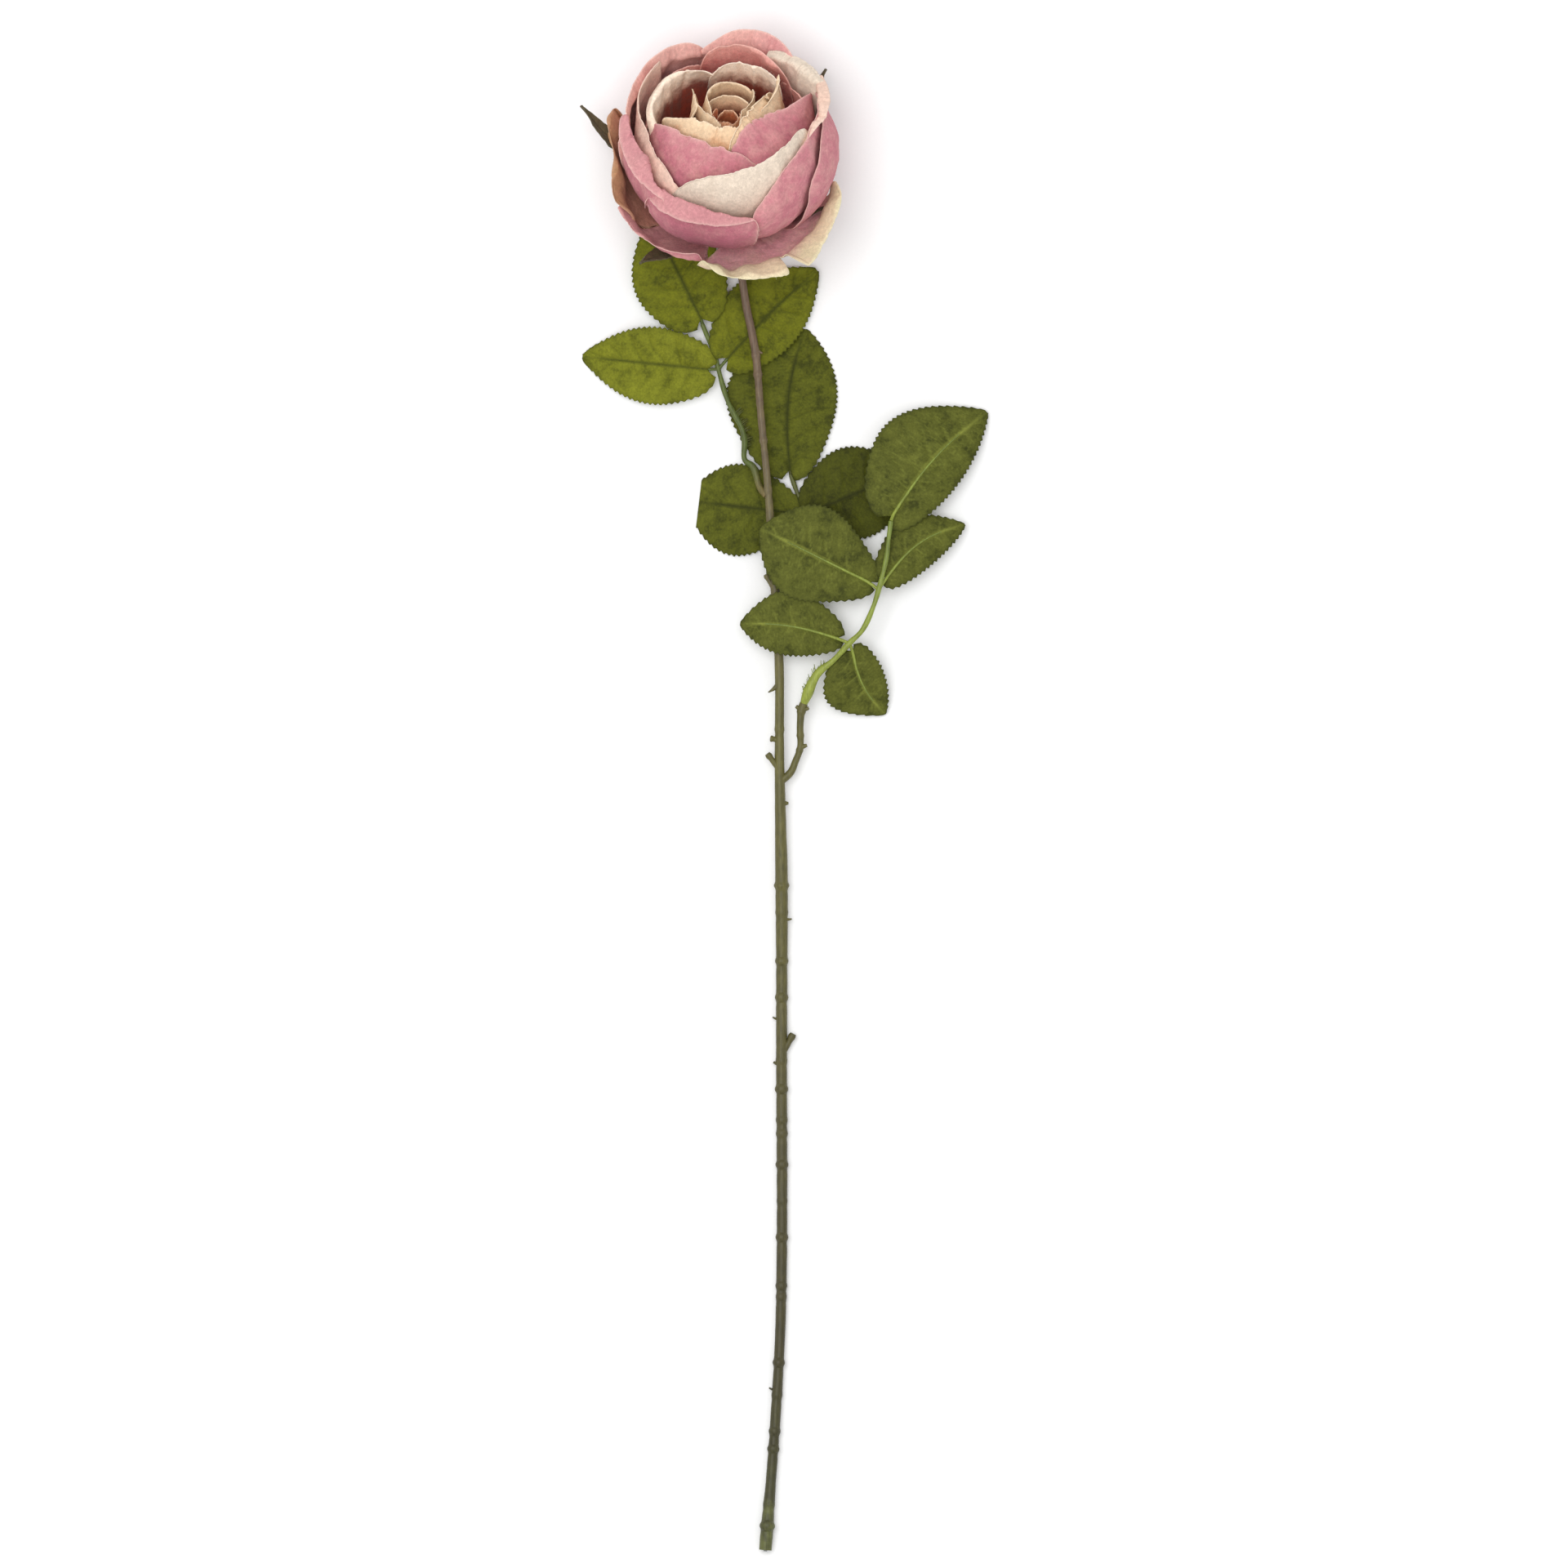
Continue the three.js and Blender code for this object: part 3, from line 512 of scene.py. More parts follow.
def makePetal(petal, seed):
    # one cut of cloth: a cup from its foot to its widest level, a wall up to the rim, and a rolled edge
    across = np.linspace(0, 1, cloth["columns"])
    reach = spread(petal["reach"], across)
    rise = spread(petal["rise"], across)
    belly = spread(petal["belly"], across)
    footReach, footRise = petal["foot"]
    fold = np.maximum(spread(petal.get("fold", [0]), across), cloth["leastFold"])
    strip = np.column_stack([across * cloth["spanRadius"], np.zeros_like(across)])
    # rounded shoulders at both ends, a raw uneven cut, and any tear
    nearEnd = np.clip(np.minimum(across, 1 - across) / petal.get("shoulder", 0.1), 0, 1)
    reachUp = 1 - petal.get("cut", 0.4) * (1 - np.sqrt(1 - (1 - nearEnd) ** 2))
    nicks = cloth["nicks"] * np.abs(ripple(strip, 1.7, seed + 3))
    reachUp -= cloth["ragged"] * petal.get("ragged", 1) * ripple(strip, 4.0, seed) + nicks
    reachUp -= cloth["fuzz"] * ripple(strip, 0.6, seed + 4)
    for at, width, size in petal.get("tears", []):
        reachUp -= size * np.exp(-((across - at) / width) ** 4)
    rows = np.concatenate([np.linspace(0, cloth["footShadeShare"], cloth["footRows"], endpoint=False),
                           np.linspace(cloth["footShadeShare"], 1, cloth["wallRows"])])
    share = rows[:, None] * reachUp[None, :]
    # a flared petal has its widest level low down; on the others a low rim ends part way up the cup
    waist = np.full_like(rise, petal.get("waist", cloth["waist"]))
    if petal.get("flared"):
        waist = footRise + (rise - footRise) * cloth["waistShare"]
    above = np.maximum(rise - waist, 0)
    drawIn = (reach - belly) * np.clip(above / 3, 0, 1)
    cupLength = math.pi / 2 * np.hypot(belly - footReach, waist - footRise) / math.sqrt(2)
    wallLength = np.hypot(above, drawIn)
    rimBend = np.arccos(np.clip((waist - rise) / (waist - footRise), 0, 1)) / (math.pi / 2)
    gone = share * (cupLength * rimBend + wallLength)
    bend = np.clip(gone / cupLength, 0, 1) * math.pi / 2
    wall = np.clip((gone - cupLength) / np.maximum(wallLength, 0.01), 0, 1)
    out = footReach + (belly - footReach) * np.sin(bend) + drawIn * wall ** 2
    up = footRise + (waist - footRise) * (1 - np.cos(bend)) + above * wall
    # the roll leaves the rim in the wall's own direction and turns over by the petal's turn
    headOut, headUp = out[-1] - out[-2], up[-1] - up[-2]
    heading = np.arctan2(headUp, headOut)
    turn = math.radians(petal.get("turn", 150))
    bendLength = abs(petal.get("curl", 1.5) * turn)
    outs, ups = [out], [up]
    step = fold / cloth["foldRows"]
    for i in range(cloth["foldRows"]):
        turned = heading - turn * np.minimum(1, (i + 0.5) * step / bendLength)
        outs.append(outs[-1][-1:] + (np.cos(turned) * step)[None, :])
        ups.append(ups[-1][-1:] + (np.sin(turned) * step)[None, :])
    out, up = np.concatenate(outs), np.concatenate(ups)
    start, end = petal["sweep"]
    middle = (start + end) / 2
    level = np.concatenate([share, np.repeat(share[-1:], cloth["foldRows"], 0)])
    narrow = 0.55 + 0.45 * np.minimum(1, level * 2)  # about half its width at the foot
    azimuth = np.radians(middle + (start + (end - start) * across[None, :] - middle) * narrow)
    front = onFlower(azimuth, out, up)
    # the cloth is crushed all over, creased from foot to rim, and ruffled towards the rim
    normal = unit(np.cross(np.gradient(front, axis=1), np.gradient(front, axis=0)))
    width = np.broadcast_to(across[None, :] * math.radians(end - start) * cloth["spanRadius"], level.shape)
    ruffleWay = np.stack([width, level * 3], -1)
    creaseWay = np.stack([width, level * 8], -1)
    lift = cloth["crush"] * (ripple(front, 9.0, seed) + 0.35 * ripple(front, 3.2, seed + 1))
    ridges = np.abs(ripple(creaseWay, 5.0, seed + 5))
    lift += cloth["crease"] * (0.5 - ridges - np.abs(ripple(front, 8.0, seed + 8)))
    lift += cloth["crumple"] * (0.3 - np.abs(ripple(front, 2.6, seed + 9)))
    lift *= petal.get("crushed", 1.0)
    wavy = ripple(ruffleWay, petal.get("ruffleSize", 7.0), seed + 2)
    lift += petal.get("ruffle", 0.6) * level ** 3 * wavy * cloth["ruffleHeight"]
    for count, size, phase in petal.get("waves", []):
        lift += size * np.sin(2 * math.pi * (count * across[None, :] + phase)) * level ** 3
    for at, size, wide in petal.get("pleats", []):
        lift += size * np.exp(-((across[None, :] - at) / wide) ** 2) * level ** 2
    # a tight roll has no room for creases
    lift[-cloth["foldRows"]:] *= np.linspace(1, 0.2, cloth["foldRows"])[:, None]
    front = front + normal * lift[..., None]
    lengths = np.concatenate([np.zeros((1, len(across))),
                              np.cumsum(np.linalg.norm(np.diff(front, axis=0), axis=2), axis=0)])
    fromEdge = lengths[-1:] - lengths
    fromSide = np.minimum(across, 1 - across)[None, :] * math.radians(end - start) * np.maximum(out, 4)
    edge = np.maximum(np.exp(-fromEdge / cloth["rawEdge"]), np.exp(-fromSide / cloth["rawSide"]))
    # patches of stain colour; on outer petals 1 and 3 they are painted shade below the rolled rim
    stainAndShade = np.zeros_like(level)
    for at, wide, low, tall, amount in petal.get("stainAndShadePatches", []):
        farOff = ((across[None, :] - at) / wide) ** 2 + ((level - low) / tall) ** 2
        stainAndShade = np.maximum(stainAndShade, amount * np.exp(-farOff))
    side = np.zeros_like(level)
    fringe = np.zeros_like(level)
    fringe[-1] = 1
    growing = unit(np.gradient(front, axis=0))
    marks = dict(side=side, depth=level, edge=edge, stainAndShade=stainAndShade, fringe=fringe)
    backMarks = dict(side=side + 1, fringe=fringe * 0)
    made = thinShell(petal["node"] + "_cloth", front, cloth["thickness"], marks, backMarks, growing,
                     np.stack([width, lengths], -1))
    grow(made, fringeTree, dict(threads, Seed=seed, Material=cloths[petal["dyeAndShade"]]))
    settle(made, petal["node"])


# sweep is where a petal stands round the axis; reach and rise are its rim's, evenly spaced along it
guards = dict(foot=(6, -2), belly=[49], slot="petal_pink")
outers = dict(foot=(6, 1), belly=[46.5], slot="petal_pink")
middles = dict(foot=(6, 4), belly=[40], slot="petal_cream")
inners = dict(foot=(5.5, 9), belly=[35], slot="petal_pink")
collars = dict(foot=(5.5, 13), belly=[25], slot="petal_cream")
swirls = dict(foot=(5, 17), belly=[15], slot="petal_cream", shoulder=0.06, cut=0.25, crushed=0.5)
hearts = dict(foot=(4, 22), belly=[8], slot="petal_cream", shoulder=0.06, cut=0.25, crushed=0.4, ruffle=0.3)
petals = [
    dict(guards, node="guard_petal_1", dyeAndShade="rose", sweep=(-44, 46), belly=[48, 49, 49, 49], waist=34,
         reach=[47, 45, 42.5, 42.5, 43.5, 47], rise=[36, 49, 54, 54, 51, 42], ruffle=0.9, cut=0.2,
         fold=[0.5], pleats=[(0.4, 0.7, 0.05)]),
    dict(guards, node="guard_petal_2", dyeAndShade="leafed", sweep=(254, 350), belly=[47, 46, 45, 45, 46, 47],
         flared=True, reach=[46, 51, 53, 55, 57, 58, 55, 53, 52, 49],
         rise=[15, 11, 10, 10, 10, 11, 13, 17, 23, 29], cut=0.2, tears=[(0.5, 0.035, 0.26)], ruffle=1.2,
         ruffleSize=4.5, turn=70, fold=[1, 2, 2, 2, 2, 1.5], waves=[(5.5, 0.9, 0.2)],
         stainAndShadePatches=[(0.35, 0.14, 0.95, 0.3, 0.9), (0.72, 0.1, 1.0, 0.2, 0.6)]),
    dict(guards, node="guard_petal_3", dyeAndShade="rose", sweep=(198, 256), belly=[46.5, 46, 45, 44], flared=True,
         reach=[51.5, 51, 50, 48.5, 47.5, 46.5], rise=[19, 16, 13.5, 12.5, 13.5, 16], ruffle=0.8, turn=40,
         fold=[1], pleats=[(0.4, -0.9, 0.05), (0.7, 0.8, 0.06)]),
    dict(guards, node="guard_petal_4", dyeAndShade="tan", sweep=(158, 209), belly=[47], flared=True,
         reach=[49, 52, 52.5, 50.5, 49.5, 51.5, 53, 52], rise=[42, 46, 45, 41, 36, 31, 26, 19], ruffle=1.4,
         ruffleSize=3.6, turn=60, fold=[0.5, 1.2, 1.2, 1], waves=[(2.6, 1.2, 0.1)]),
    dict(guards, node="guard_petal_5", dyeAndShade="rose", sweep=(50, 140), reach=[48, 48.5, 48.5, 48],
         rise=[36, 42, 42, 36]),
    # the dark patch on this petal is painted shade below its rolled rim
    dict(outers, node="outer_petal_1", dyeAndShade="rose", sweep=(219, 287), belly=[45, 47, 47.5, 47.5, 48, 47],
         waist=31, reach=[42, 43.5, 44.5, 45.5, 46, 46.5, 47, 46], rise=[34, 43, 45, 45, 44, 42, 40, 37],
         turn=165, curl=0.55, fold=[3, 8, 10, 10, 8, 6.5, 4, 1], cut=0.12, shoulder=0.05,
         stainAndShadePatches=[(0.6, 0.5, 0.55, 0.3, 1.0)],
         pleats=[(0.3, 0.7, 0.04), (0.55, -0.7, 0.04), (0.8, 0.5, 0.03)]),
    dict(outers, node="outer_petal_2", dyeAndShade="rose", sweep=(272, 372), belly=[46, 46, 46, 45, 43.5, 42.5, 42],
         waist=35, reach=[44, 44, 42.5, 41, 40, 39, 38.5, 39, 40, 40],
         rise=[18, 34, 45, 52.5, 56.5, 58, 58.5, 58.5, 58.5, 57], ragged=0.3, turn=120,
         fold=[0.5, 1, 1, 1, 0.8], cut=0.3, shoulder=0.05, pleats=[(0.35, -0.8, 0.03), (0.6, 0.7, 0.04)]),
    # the dark patch on this petal is painted shade below its rolled rim
    dict(outers, node="outer_petal_3", dyeAndShade="rose", sweep=(170, 236), belly=[46], waist=38,
         reach=[45, 43.5, 42, 41.5, 42, 43, 44, 45], rise=[48, 54, 54, 53, 52, 50, 47, 43], turn=150,
         curl=0.7, fold=[1, 5, 8, 9, 9, 8, 6, 3], cut=0.12, shoulder=0.06, ruffle=1.2,
         stainAndShadePatches=[(0.5, 0.6, 0.5, 0.3, 0.6)], pleats=[(0.35, 0.8, 0.05), (0.62, -0.8, 0.04)]),
    dict(outers, node="outer_petal_4", dyeAndShade="blush", sweep=(99, 188), belly=[45.5],
         reach=[41, 42, 42, 42, 42, 42.5, 43, 43], rise=[50, 52, 53, 53, 53, 52, 50, 44], ruffle=0.9,
         turn=52, curl=3.2, fold=[4, 8, 9, 9, 8, 7, 6, 4], pleats=[(0.3, 0.9, 0.04), (0.6, -1.0, 0.05)]),
    dict(outers, node="outer_petal_5", dyeAndShade="blush", sweep=(42, 108), belly=[45],
         reach=[42, 42, 42, 42, 42, 42, 42], rise=[50, 53, 54.5, 55, 54.5, 53, 51], ruffle=1.0, cut=0.2,
         shoulder=0.05, turn=58, curl=3.0, fold=[4, 8, 10, 10, 9, 6, 3],
         stainAndShadePatches=[(0.25, 0.2, 1.0, 0.4, 0.5)]),
    dict(middles, node="middle_petal_1", dyeAndShade="peach", sweep=(136, 242), belly=[41],
         reach=[39.5, 40, 39.5, 38, 36.5, 36.5, 37.5, 39], rise=[63, 60, 58, 56, 53, 50, 46, 40], turn=120,
         fold=[0.8, 1.5, 1.8, 1.5, 1], cut=0.12, shoulder=0.03),
    dict(middles, node="middle_petal_2", dyeAndShade="cream", sweep=(22, 66), belly=[42, 40, 39, 38],
         reach=[45, 42, 40, 38, 36], rise=[54, 56.5, 57.5, 57.5, 57], turn=105, curl=1.6,
         fold=[4, 6, 7, 7, 6], ruffle=1.2, cut=0.2, shoulder=0.07,
         pleats=[(0.35, -0.9, 0.05), (0.65, 0.8, 0.05)]),
    dict(middles, node="middle_petal_3", dyeAndShade="cream", sweep=(231, 350), belly=[41.5], waist=38, ragged=0.5,
         reach=[41, 40, 39, 38, 37.5, 37, 36, 35.5, 35.5, 36],
         rise=[38, 50, 56, 58, 60, 61, 62.5, 63, 61, 54], turn=60, fold=[0.6, 1, 1, 0.8], cut=0.25,
         shoulder=0.06, stainAndShadePatches=[(0.66, 0.2, 0.62, 0.18, 0.9)],
         pleats=[(0.24, -0.9, 0.02), (0.3, 0.8, 0.02), (0.62, 0.9, 0.03), (0.7, -0.8, 0.03)]),
    dict(middles, node="middle_petal_4", dyeAndShade="peach", sweep=(-34, 36), belly=[41, 41.5, 42, 42, 43, 45],
         reach=[38, 38, 39, 40.5, 42.5, 46], rise=[54, 57, 57.5, 57, 56, 54], turn=110, curl=1.2,
         fold=[1.5, 3, 5, 6, 6, 5], cut=0.2, shoulder=0.06),
    dict(middles, node="middle_petal_5", dyeAndShade="blush", sweep=(92, 152), belly=[41],
         reach=[40, 40.5, 40.5, 40], rise=[44, 48, 48, 44]),
    dict(inners, node="inner_petal_1", dyeAndShade="rose", sweep=(181, 300), belly=[35],
         reach=[33, 29, 26, 24.5, 23, 22.5, 22.5, 23.5, 26, 30],
         rise=[52, 57, 59.5, 60, 60, 60, 59.5, 58, 56, 50], cut=0.15, shoulder=0.05, turn=60, fold=[0.5],
         pleats=[(0.4, 0.6, 0.02), (0.55, -0.7, 0.03)]),
    dict(inners, node="inner_petal_2", dyeAndShade="rose", sweep=(271, 388), belly=[34, 34, 35, 36, 38, 42],
         reach=[21, 18, 15.5, 14.5, 14.5, 16, 19, 26, 35, 43],
         rise=[55, 60, 61, 61.5, 61.5, 61.5, 61, 60, 58, 50], cut=0.15, shoulder=0.05, turn=60, fold=[0.5],
         pleats=[(0.5, 0.7, 0.03), (0.72, -0.7, 0.03)]),
    dict(inners, node="inner_petal_3", dyeAndShade="wine", sweep=(36, 110), belly=[36],
         reach=[33, 33, 34, 34.5, 34.5, 34], rise=[57, 61, 63, 63.5, 62.5, 58], turn=60,
         fold=[1.2, 1.6, 1.2], ruffle=1.2, cut=0.2, shoulder=0.08),
    dict(inners, node="inner_petal_4", dyeAndShade="wine", sweep=(104, 186), belly=[36],
         reach=[35, 35.5, 35.5, 35.5], rise=[54, 55, 54, 48]),
    dict(inners, node="inner_petal_5", dyeAndShade="wine", sweep=(-16, 50), belly=[36], reach=[34, 34.5, 35, 34],
         rise=[44, 50, 52, 52]),
    dict(collars, node="collar_petal_1", dyeAndShade="sand", sweep=(180, 296), belly=[28],
         reach=[29, 23, 18, 15.5, 14, 13, 12.5, 13, 13.5], rise=[55, 60, 63, 63, 62, 61, 61, 61, 60],
         cut=0.12, shoulder=0.05, turn=60, fold=[0.8], pleats=[(0.6, 0.6, 0.02)]),
    dict(collars, node="collar_petal_2", dyeAndShade="sand", sweep=(272, 390), belly=[25, 25, 25, 27],
         reach=[20, 16, 13, 11.5, 11, 11, 12, 14, 17, 22],
         rise=[57, 61, 62.5, 62.5, 62.5, 62.5, 62, 62, 61, 58], cut=0.12, shoulder=0.05, turn=100,
         fold=[1.5, 2.5, 3, 3, 2]),
    dict(collars, node="collar_petal_3", dyeAndShade="sand", sweep=(-24, 44), belly=[26, 27, 28, 30],
         reach=[12, 14, 17, 21, 25, 29], rise=[54, 57, 59, 60, 61, 60], cut=0.15, turn=80,
         fold=[1, 2, 3, 3]),
    dict(collars, node="collar_petal_4", dyeAndShade="shell", sweep=(30, 108), belly=[28],
         reach=[27, 26.5, 26, 25.5, 25, 24], rise=[61, 63, 63.5, 63, 61.5, 57], cut=0.15, shoulder=0.04,
         turn=70, fold=[0.6], pleats=[(0.42, -1.4, 0.03), (0.62, 0.9, 0.03)]),
    dict(collars, node="collar_petal_5", dyeAndShade="shell", sweep=(104, 190), belly=[31],
         reach=[20, 24, 28, 31, 32, 32.5, 31], rise=[61, 62, 61, 60, 58.5, 56.5, 50], cut=0.15,
         shoulder=0.06, turn=140, curl=0.8, fold=[0.5, 0.5, 1.5, 4, 5.5, 5, 4],
         pleats=[(0.3, 1.2, 0.03), (0.5, -1.0, 0.04)]),
    dict(swirls, node="swirl_petal_1", dyeAndShade="sand", sweep=(140, 255), reach=[18, 15, 12, 9.5, 8, 7.5, 8],
         rise=[58, 60, 60, 59.5, 59, 58, 57], turn=90, fold=[0.8]),
    dict(swirls, node="swirl_petal_2", dyeAndShade="sand", sweep=(50, 215), belly=[19, 19, 16, 12, 11],
         reach=[17, 16.5, 16, 14.5, 11, 8, 7.5, 8], rise=[58, 59, 59.5, 59.5, 60, 60, 59.5, 58], turn=100,
         fold=[0.8, 1.2, 1.2, 1, 0.8], pleats=[(0.3, 0.8, 0.03), (0.45, -0.8, 0.03)]),
    dict(swirls, node="swirl_petal_3", dyeAndShade="sand", sweep=(-60, 52), belly=[13, 12, 13, 18],
         reach=[10, 8, 7, 8, 10.5, 14, 17], rise=[57, 59, 60, 60, 60, 60, 59], turn=80,
         fold=[0.8, 1.2, 1.5, 1.2]),
    dict(swirls, node="swirl_petal_4", dyeAndShade="sand", sweep=(130, 208), belly=[20, 18, 18, 20],
         reach=[23, 18, 14.5, 13.5, 16, 22], rise=[54, 58.5, 60, 59.5, 58, 54], turn=90, fold=[1]),
    dict(hearts, node="heart_petal_1", dyeAndShade="sand", sweep=(20, 150), belly=[12],
         reach=[12, 11, 10.5, 10.5, 11], rise=[56, 57.5, 58, 57.5, 56]),
    dict(hearts, node="heart_petal_2", dyeAndShade="ember", sweep=(120, 270), belly=[8], reach=[7.5, 6.5, 6, 6.5],
         rise=[54, 56, 56, 54]),
    dict(hearts, node="heart_petal_3", dyeAndShade="ember", sweep=(240, 400), belly=[8], reach=[6.5, 6, 5.5, 6.5],
         rise=[54, 56, 56, 54]),
    dict(hearts, node="heart_petal_4", dyeAndShade="ember", sweep=(-10, 160), belly=[6.5], reach=[5.5, 4.5, 4, 4.5],
         rise=[53, 55, 55, 53]),
    dict(hearts, node="heart_petal_5", dyeAndShade="ember", sweep=(170, 330), belly=[5.5], reach=[4, 3, 2.5, 3],
         rise=[52, 54, 54, 52]),
]
for order, petal in enumerate(petals):
    makePetal(petal, order + 1)
print("petals made:", len(petals))

# a ribbed bell and five long sepals, one moulding; each sepal has its place round the axis, its reach
# and its end round the bloom, and how low it hangs
calyx = dict(radius=7.0, length=8.0, top=-5.0, sepalWidth=9.0, sepalThickness=0.6, sepalColumns=25,
             sepalRows=110, size=1.057,
             sepals=[(158, 1.4, 85, 0), (228, 1.31, 61, 6.5), (298, 1.06, 28, 4), (346, 1.12, 65, 3.5),
                     (49, 1.34, 83, 0)])
bell = dict(rows=40, columns=60, ribs=10, ribDepth=0.05,
            outline=[0.1, 0.42, 0.55, 0.74, 0.92, 1.0, 1.0, 0.6, 0.1],
            heights=[0, 0.0, 0.12, 0.35, 0.62, 0.85, 1.0, 1.1, 1.12])


def sepalShell(number, azimuth, reach, end, hang):
    columns = np.sin(np.linspace(-1, 1, calyx["sepalColumns"]) * math.pi / 2)
    across, along = np.meshgrid(columns, np.linspace(0, 1, calyx["sepalRows"]))
    turn = np.radians(2 + (end - 2) * along)
    size = calyx["size"] + (reach - calyx["size"]) * along ** 3
    ring = flower["radius"] * size * np.sin(turn)
    fullness = spread([0.3, 0.75, 0.85, 0.85, 0.9, 1, 1.02, 0.7, 0.04], along)
    raggedEdge = 1 + 0.14 * ripple(np.stack([along * 60 + across * 0.2, across * 2], -1), 1.6, number + 60)
    sideways = across * calyx["sepalWidth"] * fullness * raggedEdge / 2
    where = math.radians(azimuth) + sideways / np.maximum(ring, 5)
    rise = flower["belt"] - flower["depth"] * size * np.cos(turn) - 0.4
    rise = rise - hang * along ** 0.6  # clear of the flared petals in front
    front = onFlower(where, ring, rise)
    normal = unit(np.cross(np.gradient(front, axis=1), np.gradient(front, axis=0)))
    lift = 0.35 * ripple(front, 5.0, number + 70) + 0.5 * np.exp(-(across / 0.16) ** 2)
    lift = lift - 0.9 * across ** 2 * along
    lift += 0.12 * np.abs(ripple(np.stack([across * 6, along * 4], -1), 0.7, number + 80))
    front = front + normal * lift[..., None]
    place = np.stack([across, along], -1)
    marks = dict(along=0.1 + 0.9 * along)
    return thinShell("sepal", front, calyx["sepalThickness"], marks, {}, front * 0, place)


pieces = [sepalShell(i, *values) for i, values in enumerate(calyx["sepals"])]
bellShare = np.linspace(0, 1, bell["rows"])
height = calyx["top"] - calyx["length"] * (1 - spread(bell["heights"], bellShare))
turns = np.linspace(0, 2 * math.pi, bell["columns"], endpoint=False)
outline = spread(bell["outline"], bellShare) * calyx["radius"]
ribbed = outline[:, None] * (1 + bell["ribDepth"] * np.sin(bell["ribs"] * turns))
around, upward = np.meshgrid(turns, height)
ringPoints = onFlower(around, ribbed, upward).reshape(-1, 3)
index = np.arange(len(ringPoints)).reshape(bell["rows"], bell["columns"])
nextColumn = np.roll(index, -1, axis=1)
bellFaces = np.stack([index[:-1], nextColumn[:-1], nextColumn[1:], index[1:]], -1).reshape(-1, 4).tolist()
bellFaces += [index[0, ::-1].tolist(), index[-1].tolist()]
blank = ringPoints * 0
pieces.append(makeObject("bell", ringPoints, bellFaces, dict(along=blank[:, 0]), blank, blank[:, :2]))


def joinPieces(name, parts):
    bpy.ops.object.select_all(action="DESELECT")
    for part in parts:
        part.select_set(True)
    bpy.context.view_layer.objects.active = parts[0]
    bpy.ops.object.join()
    parts[0].name = parts[0].data.name = name
    return parts[0]


calyxPiece = joinPieces("calyx_moulding", pieces)
calyxPiece.data.materials.clear()
calyxPiece.data.materials.append(calyxPlastic)
settle(calyxPiece, "calyx")
print("calyx made")

# the stem, with its side branch, cut shoots and thorns
stem = dict(
    length=595.0, radius=2.3, baseX=-25.0, baseY=256.0, recess=0.3,
    run=[(0.045, -20, 8), (0.077, -16.6, 8), (0.111, -12.6, 8.5), (0.159, -10.1, 9), (0.209, -7.2, 9),
         (0.269, -4.7, 8.8), (0.339, -2.2, 8.2), (0.415, -2, 6.4), (0.5, -1.1, 4.2), (0.573, -1, 0),
         (0.634, -1.1, 0), (0.756, -0.9, 0), (0.832, -1.6, 0), (0.899, -3.7, 0), (0.969, -6.8, 0),
         (1, -8.3, 0)],
    girth=[(0, 0.7), (0.11, 0.78), (0.185, 0.66), (0.25, 0.84), (0.4, 0.9), (0.45, 1.04), (0.5, 1.22),
           (0.57, 1.09), (0.7, 1.03), (0.85, 0.98), (0.95, 0.98), (0.985, 1.25), (1, 1.2)],
    joints=[0.113, 0.127, 0.148, 0.176, 0.213, 0.39, 0.506, 0.526, 0.562, 0.589, 0.636, 0.657, 0.68, 0.69,
            0.713, 0.74, 0.767, 0.803, 0.811, 0.86, 0.884, 0.911, 0.924, 0.965, 0.981],
    shoots=[(0.107, (3.4, -2.5, 0.5), 1, 0.35), (0.287, (-4.2, 7, 0.5), 1.3, 1),
            (0.356, (-5, -4, 1), 1.5, 0.3), (0.398, (-4, 0.6, 0.6), 1.4, 1.1),
            (0.42, (-5.4, 7, 1), 1.4, 1.1), (0.445, (3.6, 0, 0.5), 1.6, 0.6),
            (0.53, (4.4, -0.5, 0.5), 1.1, 0.3), (0.605, (-4, 0.8, 0.4), 1, 0.3),
            (0.632, (5.2, 9.5, 0.6), 1.4, 1.3), (0.638, (-3.6, 0.6, 0.2), 1.1, 0.5),
            (0.88, (-3.6, 0.8, 0.4), 1, 0.3)],
    branchShare=0.429, branchRadius=1.9,
    branch=[(0, 0, 0), (4.7, 4, 0.2), (6.8, 8.6, 0.5), (9, 15.1, 1), (9, 24.1, 1.8), (9.6, 31.5, 2.2),
            (10.6, 34.5, 2.4)],
    branchJoints=[0.45, 0.62, 0.9],
    knobs=[(3, (3, 1, 0.5)), (5, (-2.4, 1.8, 0.6)), (5, (3.2, 1, 0.6))])
origin = base - np.array([stem["baseX"], stem["baseY"], base[2]])  # of the part's own working frame


def stemRadiusAt(share):
    return stem["radius"] * np.interp(share, *zip(*stem["girth"]))


calyxFoot = calyx["top"] - calyx["length"] - 0.3
neck = [onFlower(np.array(0.0), np.array(0.0), np.array(calyxFoot - drop)) for drop in (-0.6, 9)]
lowerRun = [origin + (x, stem["baseY"] - share * stem["length"], max(z, stemRadiusAt(share)))
            for share, x, z in stem["run"]]
stemLine = smoothPath(neck + lowerRun, 0.6)
stemShare = (origin[1] + stem["baseY"] - stemLine[:, 1]) / stem["length"]


def stemPointAt(share):
    return np.array([np.interp(share, stemShare, stemLine[:, i]) for i in range(3)])


